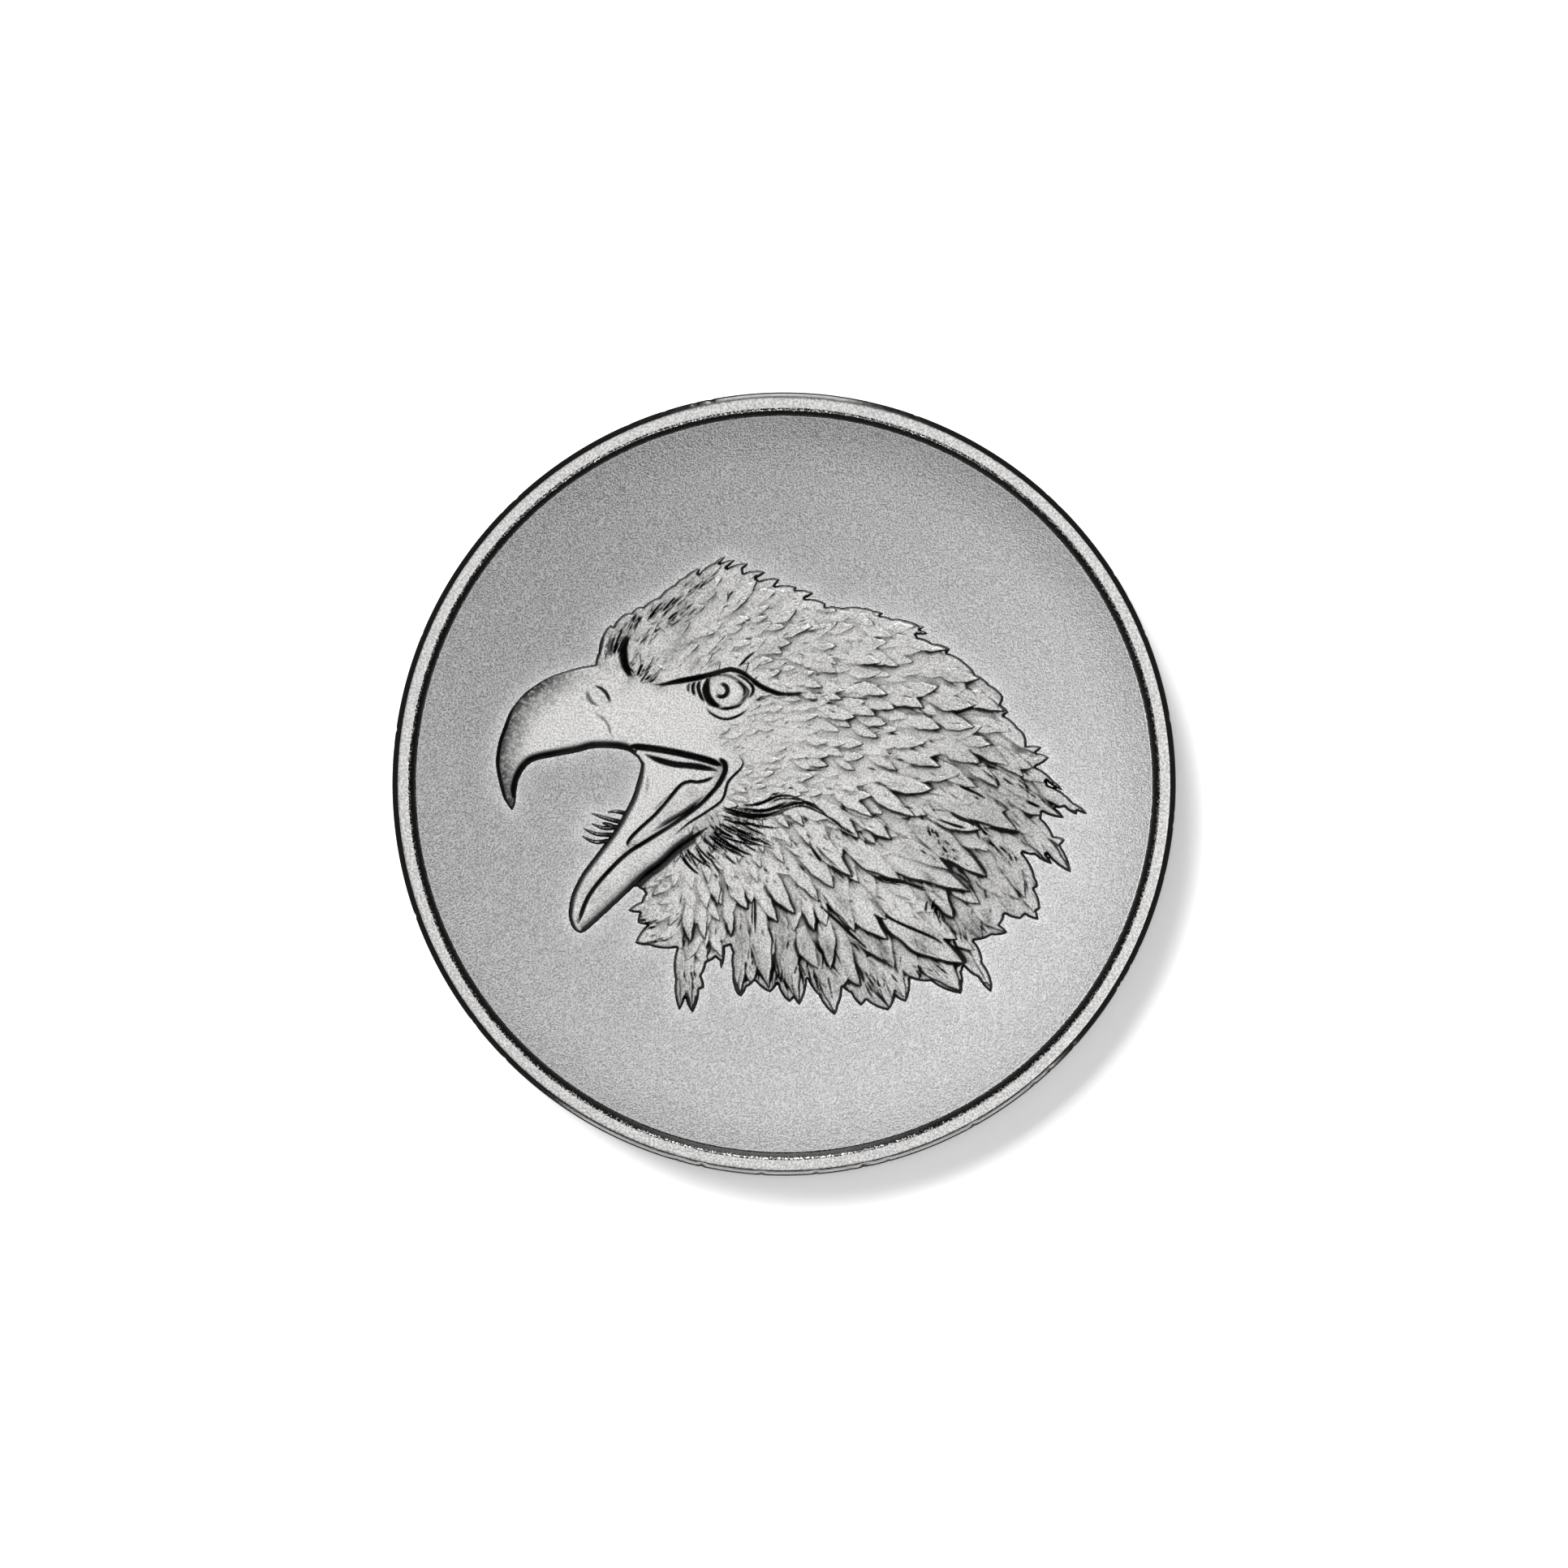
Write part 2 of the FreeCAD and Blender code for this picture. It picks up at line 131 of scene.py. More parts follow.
# Small tufts that stand out in front of the jaw, as centre lines
WISPS = [
    [(-8.1, -1.5), (-8.6, -1.4), (-9.05, -1.45)], [(-8.3, -1.95), (-9.1, -1.75), (-9.93, -1.46)],
    [(-8.5, -2.2), (-9.2, -2.25), (-9.9, -2)], [(-8.7, -2.6), (-9.6, -2.55), (-10.33, -2.22)],
    [(-8.9, -2.9), (-9.7, -2.95), (-10.38, -2.62)], [(-8.3, -2.3), (-8.9, -2.1), (-9.35, -1.95)]
]
WISP_WIDTH = 0.26

# The mouth: the inner line of the near jaw from its tip to the corner, the jaw's lower line, the lip round
# the corner, the upper lip, the palate and the tongue
JAW_LINE = [
    (-10.5, -7.1), (-10.1, -6), (-9.57, -5.17), (-8.6, -4.1), (-7.83, -3.43), (-6.97, -2.9), (-5.5, -1.95),
    (-4.37, -1.13), (-3.57, -0.33), (-3.23, 0.17), (-3, 0.7), (-3.05, 1.1), (-3.3, 1.3)
]
JAW_BELOW = [(-7.67, -5.27), (-6.97, -4.6), (-6.3, -4.1), (-5.43, -3.3), (-4.5, -2.65), (-3.6, -2.05)]
LIP_OUTER = [
    (-2.9, 1.65), (-2.3, 1.45), (-2.1, 1.15), (-2.2, 0.8), (-2.85, 0.1), (-3.15, -0.8), (-4, -1.45),
    (-5, -2.1), (-5.9, -2.95)
]
UPPER_LIP = [(-7.4, 1.9), (-6.1, 1.72), (-5, 1.5), (-3.9, 1.22), (-3.1, 0.92)]
GAPE = [(-8, 1.9)] + UPPER_LIP
PALATE = [(-7.25, 1.6), (-6.5, 1.25), (-5.6, 1), (-4.6, 0.9), (-3.7, 0.75), (-3.2, 0.6)]
TONGUE_TOP = [
    (-7.95, -3.4), (-7.95, -2.95), (-7.4, -2.33), (-6.6, -1.6), (-5.9, -0.8), (-5.3, -0.1), (-4.85, 0.1),
    (-4.4, 0.08), (-3.9, 0.2), (-3.45, 0.45)
]
TONGUE_BELOW = [(-6.9, -2.6), (-6, -2), (-5, -1.4), (-4.5, -1), (-3.9, -0.45)]

# Bare skin: the beak, the cere, the cheek in front of the eye, the mouth and the jaw
BARE_SKIN = [
    (-9.6, 6.3), (-8.3, 5.9), (-7.6, 5.3), (-6.7, 4.95), (-5, 5.35), (-3.4, 5.75), (-2.3, 5.85), (-1.5, 5),
    (-1.5, 4.2), (-2.2, 3.3), (-3.4, 2.9), (-3.5, 2.2), (-2.6, 1.9), (-1.9, 1.3), (-2.3, 0.4), (-2.9, -0.6),
    (-4, -1.6), (-5.3, -2.4), (-5.3, -3.2), (-6.6, -4.4), (-7.8, -5.4), (-10.4, -8.2), (-11.8, -6.8),
    (-10, -3), (-8.3, 0), (-13.2, 0), (-13.9, -2.2), (-15.6, 0.6), (-14.4, 4.8), (-11.5, 6.6)
]

# Eye and brow
PUPIL = (-3.2, 4.76)
PUPIL_RADIUS = 0.32
EYEBALL = (-3.05, 4.72)
EYEBALL_RADIUS = 1.02
EYE_OPENING = [
    (-3.9, 5.5), (-3.3, 5.62), (-2.6, 5.45), (-2.1, 5.1), (-1.8, 4.68), (-2.1, 4.2), (-2.8, 3.86),
    (-3.5, 3.93), (-3.95, 4.4), (-4.05, 4.95)
]
BROW = [
    (-7.1, 5.1), (-6.4, 5.05), (-5.4, 5.25), (-4.3, 5.45), (-3.3, 5.72), (-2.7, 5.85), (-2.1, 5.65),
    (-1.5, 5.2), (-0.9, 4.85), (-0.2, 4.62), (0.6, 4.6), (1.6, 4.75)
]

# The deep crease across the throat, and those between the forehead and its front tuft
THROAT = [
    (-3.3, -1.1), (-2.73, -1.35), (-1.5, -1.62), (-0.57, -1.52), (0.84, -1.05), (2.14, -1.62),
    (2.68, -2.16), (3.87, -2.8)
]
THROAT_UPPER = [(-2.4, -1.05), (-1.4, -1.1), (-0.6, -0.85), (0.3, -0.6), (1.4, -0.95), (2.3, -1.1)]
THROAT_LOWER = [(-3.6, -1.6), (-2.9, -1.75), (-2, -2), (-1, -2)]
FOREHEAD_CREASE = [(-7.8, 7.9), (-8.08, 7.3), (-8.2, 6.8), (-8.12, 6.1), (-7.85, 5.55), (-7.5, 5.3)]
TUFT_CREASE = [(-8.6, 7.6), (-8.85, 7.1), (-8.9, 6.7), (-8.7, 6.45)]

# Edges and folds of the neck that are deeper than the rest
FOLDS = [
    [(1.3, -3), (2.5, -4.4), (3.5, -4.8)], [(3.6, -4.1), (5, -4.9), (6, -5), (7.5, -5.5), (9.3, -5.5)],
    [(4.1, -4.8), (5, -6.5), (6.2, -7.2), (8, -8), (9.2, -9)],
    [(1.5, -6), (2.8, -7.1), (4.2, -8.4), (5.1, -9.05)], [(-1.5, -5.3), (-1.5, -7.8), (-0.9, -10)],
    [(7.2, -1.5), (8.7, -2), (10.2, -2.3)], [(8.8, 0), (10.2, -0.6), (11.5, -1.5)],
    [(10.8, -0.1), (12.4, -0.9), (14, -1.6)], [(7.4, -5.8), (8, -6.8), (8.4, -7.9)]
]

# Grooves: points, half width, depth and, where it isn't the usual one, the taper
MOUTH_GROOVES = [
    (JAW_LINE, 0.13, 0.2, 0.05), (GAPE, 0.19, 0.32, 0.12), (PALATE, 0.19, 0.3, 0.3),
    (TONGUE_TOP, 0.11, 0.2, 0.1), (TONGUE_BELOW, 0.2, 0.12), (LIP_OUTER, 0.07, 0.14, 0.3),
    ([(-6.9, -1.6), (-6.2, -0.9), (-5.6, -0.35)], 0.08, 0.05),
    ([(-7.05, 0.6), (-7, -0.1), (-7.15, -0.7)], 0.1, 0.04),
]
EYE_GROOVES = [
    ([(-3.8, 5.5), (-3.98, 4.95), (-3.9, 4.45), (-3.6, 4.08), (-3.1, 3.92)], 0.22, 0.34),
    ([(-4.2, 5.45), (-4.38, 4.95), (-4.2, 4.4), (-3.95, 4.05)], 0.1, 0.22),
    ([(-4.5, 5.35), (-4.66, 4.9), (-4.52, 4.4)], 0.09, 0.18),
    ([(-4.78, 5.25), (-4.9, 4.9), (-4.82, 4.6)], 0.07, 0.1),
    ([(-2.7, 5.65), (-2.1, 5.45), (-1.65, 5.05), (-1.6, 4.65), (-2, 4.2)], 0.08, 0.18),
    ([(-2.6, 5.35), (-2.15, 5.05), (-2, 4.7), (-2.15, 4.4)], 0.06, 0.08),
    ([(-1.95, 4.3), (-2.4, 3.95), (-3, 3.82), (-3.5, 3.9)], 0.08, 0.16),
    ([(-4.15, 4.2), (-3.75, 3.62), (-3, 3.3), (-2.2, 3.55), (-1.6, 4.1)], 0.08, 0.12),
    (BROW, 0.14, 0.22, 0.25), (BROW[1:5], 0.17, 0.2, 0.4),
    ([(-2.5, 5.85), (-2.1, 6.2), (-1.8, 6.5), (-1.3, 6.9)], 0.08, 0.1),
]
NOSTRIL_GROOVES = [
    ([(-9.85, 5.1), (-9.4, 4.9), (-9.1, 4.65), (-8.92, 4.3), (-8.82, 3.95)], 0.11, 0.12),
    ([(-10.1, 5), (-10.02, 4.5), (-9.8, 4.15), (-9.35, 3.92)], 0.16, 0.08),
    ([(-9.9, 3.75), (-9.3, 3.4), (-8.95, 2.9), (-8.75, 2.1)], 0.07, 0.055),
]
EDGE_GROOVES = [(BEAK_UNDER[:-2], 0.36, 0.36, 0.1), (JAW_FRONT[2:], 0.34, 0.34, 0.12)]
CREASE_GROOVES = [(THROAT[:4], 0.14, 0.3, 0.5), (FOREHEAD_CREASE, 0.17, 0.34, 0.45)]

# Folds made of several strokes: line, number of strokes, their spread, half width and depth
SKETCHES = [
    (THROAT[:6], 8, 0.1, 0.11, 0.24), (THROAT[3:], 4, 0.09, 0.09, 0.2), (THROAT_UPPER, 3, 0.12, 0.09, 0.2),
    (THROAT_LOWER, 4, 0.1, 0.09, 0.18), (FOREHEAD_CREASE, 6, 0.1, 0.09, 0.2),
] + [(fold, 3, 0.06, 0.08, 0.12) for fold in FOLDS]

# Dark lines of painted shade along edges and creases, partly antiquing in the deepest recesses: points,
# half width, strength and taper
BLACK_LINES = [
    (BEAK_UNDER[:-1], 0.54, 1, 0.1), (JAW_FRONT, 0.3, 0.95, 0.06),
    (JAW_UNDER[::-1] + JAW_BELOW[1:5], 0.4, 0.94, 0.03), (CULMEN[:8], 0.36, 1, 0.25),
    (GAPE, 0.2, 1, 0.08), (PALATE, 0.12, 0.9, 0.2), (JAW_LINE, 0.13, 0.95, 0.04),
    (JAW_LINE[8:], 0.2, 1, 0.2), (JAW_BELOW[:5], 0.13, 0.9, 0.2), (TONGUE_TOP[:7], 0.09, 0.85, 0.2),
    (BROW[1:6], 0.14, 1, 0.3), (FOREHEAD_CREASE, 0.32, 1, 0.45), (TUFT_CREASE, 0.14, 0.8, 0.4),
    (CROWN[:3], 0.2, 0.9, 0.3), (THROAT[:5], 0.15, 0.9, 0.4),
]

# Fine hairs: the line that their roots lie on, how many, their length, the first and the last direction,
# their curl and their depth
COMBS = [
    ([(-5.4, -3.25), (-4.6, -2.75), (-3.8, -2.2), (-3.1, -1.8), (-2.4, -1.6)],
     36, 2.6, (-65, -22), 28, 0.24),
    ([(-4.2, -3.2), (-3.3, -2.8), (-2.4, -2.5), (-1.6, -2.3)], 20, 1.6, (-65, -20), 25, 0.12),
    ([(-9.35, 6.5), (-8.9, 6.6), (-8.45, 6.5)], 16, 1.2, (85, 75), -15, 0.16),
    ([(-8.1, 7.5), (-7.3, 8.1), (-6.2, 8.7), (-5.2, 9.5), (-4.2, 10.2)], 44, 1.7, (62, 40), -10, 0.1),
    ([(-7.6, 6.8), (-6.8, 7.5), (-5.8, 8.2), (-4.6, 8.9)], 26, 1.2, (60, 38), -10, 0.09),
    ([(-7.9, 5.9), (-7.5, 5.5), (-7, 5.2), (-6.4, 5.2)], 16, 0.8, (75, 35), -15, 0.14),
    ([(7, -1.6), (7.7, -2.2), (8.2, -3), (8.6, -3.9), (9, -4.8)], 30, 1, (-75, -45), 15, 0.09),
    ([(9, -1), (9.8, -1.9), (10.5, -2.8), (11.3, -3.4)], 22, 1.2, (-60, -50), 10, 0.07),
    ([(9.2, 1.5), (10.3, 0.9), (11.4, 0.4), (12.2, 0)], 20, 1.4, (-30, -38), 5, 0.07),
    ([(-5.3, -9.3), (-4.7, -9.6), (-3.2, -8.9)], 12, 1.3, (-90, -85), 5, 0.12),
    ([(-2.3, -9), (-0.8, -9.1), (0.8, -9.3), (2.2, -9.4)], 30, 2, (-92, -80), 5, 0.08),
    ([(3.6, -9.2), (5, -9.6), (6.3, -9.2), (8, -8.8)], 30, 1.8, (-70, -45), 5, 0.08),
    ([(7.5, -5.7), (7.9, -6.3), (8.3, -7), (8.5, -7.7)], 16, 0.9, (-110, -60), 20, 0.1),
    ([(-7.3, -6.5), (-6.6, -7.1), (-6.2, -7.9)], 16, 0.9, (-160, -165), 5, 0.13),
]

# Spots of painted shade, stippled: centre, radius and strength
SHADES = [
    (-6.3, 9, 1.2, 0.3), (-8.2, 7.6, 1, 0.45), (-4.4, 10.3, 0.8, 0.25), (9.5, 1.2, 2.2, 0.25),
    (11.5, -1, 2.6, 0.4), (11, -4.8, 2, 0.3), (8, -3.2, 1.4, 0.35), (7.5, -7.8, 2.2, 0.15),
    (4.8, -9.8, 2, 0.2), (0.8, -9.2, 2.2, 0.15), (-4.8, -10.4, 1.2, 0.25), (-3.8, -2.5, 0.9, 0.4),
    (7, 5.8, 2, 0.15), (-5.6, -1.5, 0.8, 0.2), (-9.6, -5.6, 1, 0.2)
]

# Where short strokes of painted shade lie between the feathers: centre, radius, how many and their strength
SHADE_STROKES = [
    (-5.6, 8.6, 2.6, 34, 0.4), (-1.5, 8.8, 2.6, 20, 0.3), (2, 7, 3, 20, 0.25), (10.5, -1, 3.6, 34, 0.4),
    (8, -6.5, 3, 26, 0.55), (3.5, -8.6, 3.2, 30, 0.6), (-0.5, -8.8, 2.2, 16, 0.5), (9, 3.5, 3, 20, 0.3)
]

# Which way the plumage runs: x, y, degrees from +X, and the length of a feather there
PLUMAGE = [
    (-9.2, 7, 78, 1.5), (-7.5, 7.5, 58, 1.5), (-6, 8.5, 42, 1.7), (-4, 9.5, 38, 1.7), (-3, 10.5, 40, 1.5),
    (-6, 6.3, 32, 1.2), (-4, 7, 33, 1.4), (-2, 7.3, 18, 1.3), (-1, 9.5, 28, 1.5), (0, 8.5, 25, 1.6),
    (2, 8.3, 8, 1.6), (4, 8, -5, 1.8), (6, 7.2, -10, 2), (8, 6.2, -18, 2.4), (10, 5, -32, 2.6),
    (12, 2.2, -35, 3), (14, -0.5, -38, 3.2), (1, 5.8, -5, 1.3), (3, 5, -5, 1.6), (5, 4.5, -5, 1.9),
    (5, 2.3, -8, 1.9), (7, 4, -12, 2.2), (9, 3, -18, 2.5), (8, 1.2, -15, 2.6), (10, 0, -32, 3),
    (11, -2, -35, 3.2), (13, -2.5, -45, 3), (12, -4, -60, 2.4), (-1, 3, 5, 0.8), (-0.5, 0.8, 12, 0.8),
    (0.5, 2.8, -4, 1.1), (2, 0.8, -10, 1.3), (3.5, -0.6, -20, 1.6), (0, -3.5, -55, 1.5), (2, -4, -45, 1.9),
    (-2, -4.5, -60, 1.4), (-4.5, -5.5, -80, 1.4), (-5, -9, -90, 2.4), (-3.3, -7, -80, 1.6),
    (-1, -8, -85, 2.4), (0.6, -9, -85, 2.6), (2, -8, -72, 2.8), (3.5, -9, -60, 2.8), (5, -7.5, -48, 3),
    (5, -10, -65, 2.6), (7, -7, -40, 3), (8, -9, -35, 2.8), (9.5, -7, -65, 2.8), (-7, -6.3, -165, 1.2),
    (-6.8, -7.8, -160, 1.4), (-6.3, -5, -140, 1)
]

# The large feathers that stand out on the neck: x and y of root and tip, and width, furthest back first
LONG_FEATHERS = [
    (9.4, -7.4, 10.6, -10.5, 0.9), (11.8, -4.6, 13, -6.85, 1.2), (11.9, -3.4, 12.9, -5.2, 1),
    (9.6, -5.8, 11.4, -7.5, 1.5), (6.3, -7.7, 9.05, -10.6, 2), (5.2, -8.2, 6.25, -11, 1.3),
    (4.4, -8.8, 5.4, -11.5, 1.4), (1.7, -8.7, 2.6, -11.75, 1.5), (0.2, -7.8, 0.78, -11.2, 1.2),
    (-5.1, -8.3, -5.3, -11.4, 0.8), (-4.6, -8.3, -4.65, -11.6, 0.7), (-2.3, -7.6, -2.2, -10.8, 1),
    (-1.3, -6.2, -0.74, -10.55, 1.4), (11.2, -3.5, 12.35, -5.9, 1.1), (12, -1.7, 14.65, -4.5, 1.3),
    (11.2, -2.9, 13.6, -4.1, 0.9), (4.6, -5.3, 9.3, -9.2, 2.2), (2.5, -7.7, 3.95, -10.4, 1.25),
    (1.9, -6.5, 2.38, -9.6, 1.1), (3.2, -6.7, 5.2, -9.1, 1.1), (-4.8, -5.9, -4.74, -8.2, 0.8),
    (-4.1, -5.9, -4, -8.1, 0.75), (-3.1, -6, -2.7, -7.9, 0.7), (0.7, -5.3, 1.55, -7.6, 0.9),
    (2.8, -5, 5.4, -8, 1.5), (1.5, -4.6, 3.65, -7.65, 1.4), (3.9, -3.6, 9.7, -5.6, 1.6),
    (-0.8, -4.2, 0.65, -6.7, 1.1), (-2.7, -4.6, -1.8, -6.45, 1), (-3.95, -4.4, -3.4, -6.2, 0.85),
    (6.4, -1.8, 10.45, -4.8, 1.6), (12.6, 0.6, 15.5, -1.55, 1.1), (11, -0.1, 14.3, -1.75, 1.3),
    (4.7, -3, 8.6, -4.5, 1.3), (0.6, -3.2, 2.6, -5.4, 1.3), (2.9, -2.8, 6.1, -5, 1.4),
    (8.8, 0.3, 12, -2.4, 1.5), (7.1, -1.2, 10.2, -2.3, 1), (1.2, -1.9, 3.6, -4.8, 1.3),
    (7.2, -0.4, 12, -2.45, 1.2), (10.3, 1.8, 12.8, 0.8, 1.2), (8, 1.9, 10.1, 1.05, 1.1),
    (8.8, 4.8, 11.3, 3.7, 1.1), (7.4, 6, 10.3, 5.45, 1), (7.1, 4.6, 9.9, 4.05, 1.1),
    (8.7, 2.5, 10.7, 2, 0.9), (6, 7.4, 8.4, 6.85, 0.9), (7.6, 3.5, 9.8, 2.9, 1.1), (5.5, 1.6, 8.1, 0.85, 1),
    (6, 3.3, 8.1, 2.8, 1), (4.9, 4.6, 7.2, 3.85, 1.2), (3.4, 4.85, 5.35, 4.55, 0.9),
    (3.3, 6.5, 5.05, 6.2, 0.8), (4.2, 0.1, 6.8, -1.7, 1.1), (3.2, -1.4, 5.55, -2.9, 1.1),
    (1.7, -0.9, 3.9, -2.85, 1.1), (2.5, -0.4, 4.65, -1.75, 0.9)
]

# ---- sculpting tools -------------------------------------------------------------------------------


def dish(radius):
    """Height of the eagle side's field, from its distance to the coin's axis."""
    start = math.asin(CAP_REACH / CAP_RADIUS)

    def rise(r):
        cap = CAP_RADIUS - np.sqrt(CAP_RADIUS**2 - np.minimum(r, CAP_REACH) ** 2)
        turned_up = np.sin(start) + np.maximum(r - CAP_REACH, 0) / LIP_RADIUS
        return cap + LIP_RADIUS * (np.cos(start) - np.sqrt(1 - turned_up**2))

    return FIELD_EDGE_Z - rise(FIELD_RADIUS) + rise(radius)


def smooth(t):
    """0 below 0, 1 above 1, and an S-shaped rise between."""
    t = np.clip(t, 0, 1)
    return t * t * (3 - 2 * t)


def toward(turn):
    """The unit vector in a direction given in radians."""
    return np.array([math.cos(turn), math.sin(turn)])


def curve(points, steps=6):
    """A smooth line through a few points, as a list of close points."""
    p = np.array(points, float)
    p = np.vstack([2 * p[0] - p[1], p, 2 * p[-1] - p[-2]])
    t = np.linspace(0, 1, steps, endpoint=False)[:, None]
    out = []
    for a, b, c, d in zip(p, p[1:], p[2:], p[3:]):
        out.append(b + 0.5 * t * (c - a + t * (2 * a - 5 * b + 4 * c - d + t * (3 * b - a - 3 * c + d))))
    return np.vstack(out + [p[-2:-1]])


def jagged(points, bulge=0.07, steps=4):
    """Straight runs between feather tips and notches, each bowed a little outwards."""
    p = np.array(points, float)
    t = np.linspace(0, 1, steps, endpoint=False)[:, None]
    out = []
    for a, b in zip(p, p[1:]):
        outward = np.array([a[1] - b[1], b[0] - a[0]])
        out.append(a + t * (b - a) + 4 * bulge * t * (1 - t) * outward)
    return np.vstack(out + [p[-1:]])


def joined(runs):
    """Lines that follow on from each other, as one line."""
    return np.vstack([run[:-1] for run in runs] + [runs[-1][-1:]])


def spindle(points, width):
    """The outline of a blade that narrows to a point at the far end of its centre line."""
    line = curve(points)
    along_line = np.gradient(line, axis=0)
    across = np.stack([-along_line[:, 1], along_line[:, 0]], axis=1)
    across /= np.hypot(*across.T)[:, None]
    half = width / 2 * np.sqrt(1 - np.linspace(0, 1, len(line)) ** 2)[:, None]
    return np.vstack([line + across * half, (line - across * half)[-2::-1]])


def window(points, margin):
    """The part of the grid that covers some points and a margin around them."""
    low = np.min(points, axis=0) - margin - (LEFT, BOTTOM)
    high = np.max(points, axis=0) + margin - (LEFT, BOTTOM)
    c0, r0 = np.maximum(np.floor(low / GRID).astype(int), 0)
    c1, r1 = np.maximum(np.ceil(high / GRID).astype(int) + 1, 0)
    return slice(r0, r1), slice(c0, c1)


def along(path, margin):
    """Near a path: the part of the grid, the distance to the path, the place along it (0 to 1) and the
    side (1 on its left, -1 on its right)."""
    path = np.asarray(path, float)
    part = window(path, margin)
    x, y = X[part], Y[part]
    nearest = np.full(x.shape, np.inf)
    place = np.zeros(x.shape)
    side = np.ones(x.shape)
    run = np.hypot(*np.diff(path, axis=0).T)
    start = np.concatenate([[0], np.cumsum(run)]) / run.sum()
    for a, d, s0, s1 in zip(path, np.diff(path, axis=0), start, start[1:]):
        t = np.clip(((x - a[0]) * d[0] + (y - a[1]) * d[1]) / (d @ d), 0, 1)
        ex, ey = x - a[0] - t * d[0], y - a[1] - t * d[1]
        distance = ex * ex + ey * ey
        closer = distance < nearest
        nearest = np.where(closer, distance, nearest)
        place = np.where(closer, s0 + t * (s1 - s0), place)
        side = np.where(closer, np.sign(d[0] * ey - d[1] * ex), side)
    return part, np.sqrt(nearest), place, side


def distance_to(path, reach):
    """Distance to a path over the whole grid, and no more than reach."""
    distance = np.full(X.shape, reach)
    for a, b in zip(path, path[1:]):
        part, near, _, _ = along([a, b], reach)
        distance[part] = np.minimum(distance[part], near)
    return distance


def depth_inside(outline, reach):
    """Distance to a closed outline, positive inside it, and no more than reach either way."""
    outline = np.asarray(outline, float)
    if np.hypot(*(outline[0] - outline[-1])) > TINY:
        outline = np.vstack([outline, outline[:1]])
    distance = distance_to(outline, reach)
    inside = np.zeros(X.shape, bool)
    for a, b in zip(outline, outline[1:]):
        r0, r1 = np.ceil((np.sort([a[1], b[1]]) - BOTTOM) / GRID).astype(int)
        for row in range(r0, r1):
            crossing = a[0] + (BOTTOM + row * GRID - a[1]) * (b[0] - a[0]) / (b[1] - a[1])
            inside[row, int(math.ceil((crossing - LEFT) / GRID)):] ^= True
    return np.where(inside, distance, -distance)


def blur(values, spread):
    """Gaussian blur of the grid, with a spread in millimetres."""
    count = int(3 * spread / GRID)
    kernel = np.exp(-0.5 * (np.arange(-count, count + 1) * GRID / spread) ** 2)
    values = np.pad(values, count, "edge")
    for axis in (0, 1):
        values = np.apply_along_axis(np.convolve, axis, values, kernel / kernel.sum(), "valid")
    return values


def fading(place, taper):
    """1 along a stroke's middle, falling to 0 over a share of its length at either end."""
    return smooth(np.minimum(place, 1 - place) / taper)


def stroke(points, width, taper):
    """A line that narrows towards its ends: the part of the grid, its fading, and 1 at its middle falling
    to 0 at its half width."""
    part, distance, place, _ = along(curve(points), width)
    ends = fading(place, taper)
    return part, ends, 1 - distance / (width * (0.4 + 0.6 * ends))


def groove(height, points, width, depth, taper=0.35):
    """Cuts a line that gets narrower and shallower towards its ends. Width is its half width."""
    part, ends, core = stroke(points, width, taper)
    height[part] -= depth * ends * smooth(core)


def blacken(tone, points, width, strength, taper):
    """Paints a dark line of shade on the metal, solid over half of its width. Width is its half width."""
    part, ends, core = stroke(points, width, taper)
    tone[part] = np.maximum(tone[part], strength * smooth(3 * ends) * smooth(2 * core))


def ledge(height, points, rise, reach, wall=0.1, taper=0.2):
    """Raises the ground on the left of a line, with a steep wall at the line and a long slope behind."""
    part, distance, place, side = along(curve(points), 2.5 * reach)
    step = smooth(0.5 + distance * side / wall)
    height[part] += rise * fading(place, taper) * step * np.exp(-((distance / reach) ** 2))


def sketch(height, rng, points, count, spread, width, depth):
    """Several overlapping strokes that run along one line, as an engraver deepens a fold."""
    line = curve(points)
    for _ in range(count):
        reach = max(int(rng.uniform(0.4, 0.95) * len(line)), 5)
        start = rng.integers(0, len(line) - reach + 1)
        drift = np.linspace(0, 1, reach)[:, None] * rng.normal(0, spread, 2)
        scratch = line[start:start + reach] + rng.normal(0, spread, 2) + drift
        groove(height, scratch[::4], width * rng.uniform(0.5, 1.1), depth * rng.uniform(0.5, 1.1))


def comb(height, rng, points, count, length, turns, curl, depth):
    """Fine hairs rooted along a line, fanning from one direction to another and curling, in degrees."""
    line = curve(points)
    bends = 3
    for _ in range(count):
        share = rng.uniform()
        hair = [line[int(share * (len(line) - 1))] + rng.normal(0, 0.15, 2)]
        turn = math.radians(turns[0] + (turns[1] - turns[0]) * share) + rng.normal(0, 0.13)
        step = length * rng.uniform(0.45, 1.2) / bends
        for _ in range(bends):
            hair.append(hair[-1] + step * toward(turn))
            turn += math.radians(curl) / bends
        groove(height, hair, rng.uniform(0.045, 0.075), depth * rng.uniform(0.3, 1.1), taper=0.4)


# ---- sculpting the head ----------------------------------------------------------------------------


def outer_edge():
    """The head's outline away from the mouth, from the hook's tip to the jaw's tip."""
    return joined([curve(CULMEN), jagged(CROWN), jagged(BACK), jagged(NECK), curve(JAW_UNDER)])


def head_outline():
    """The whole outline, closed along the jaw's front and the beak's underside."""
    return joined([outer_edge(), curve(JAW_FRONT), curve(BEAK_UNDER)])


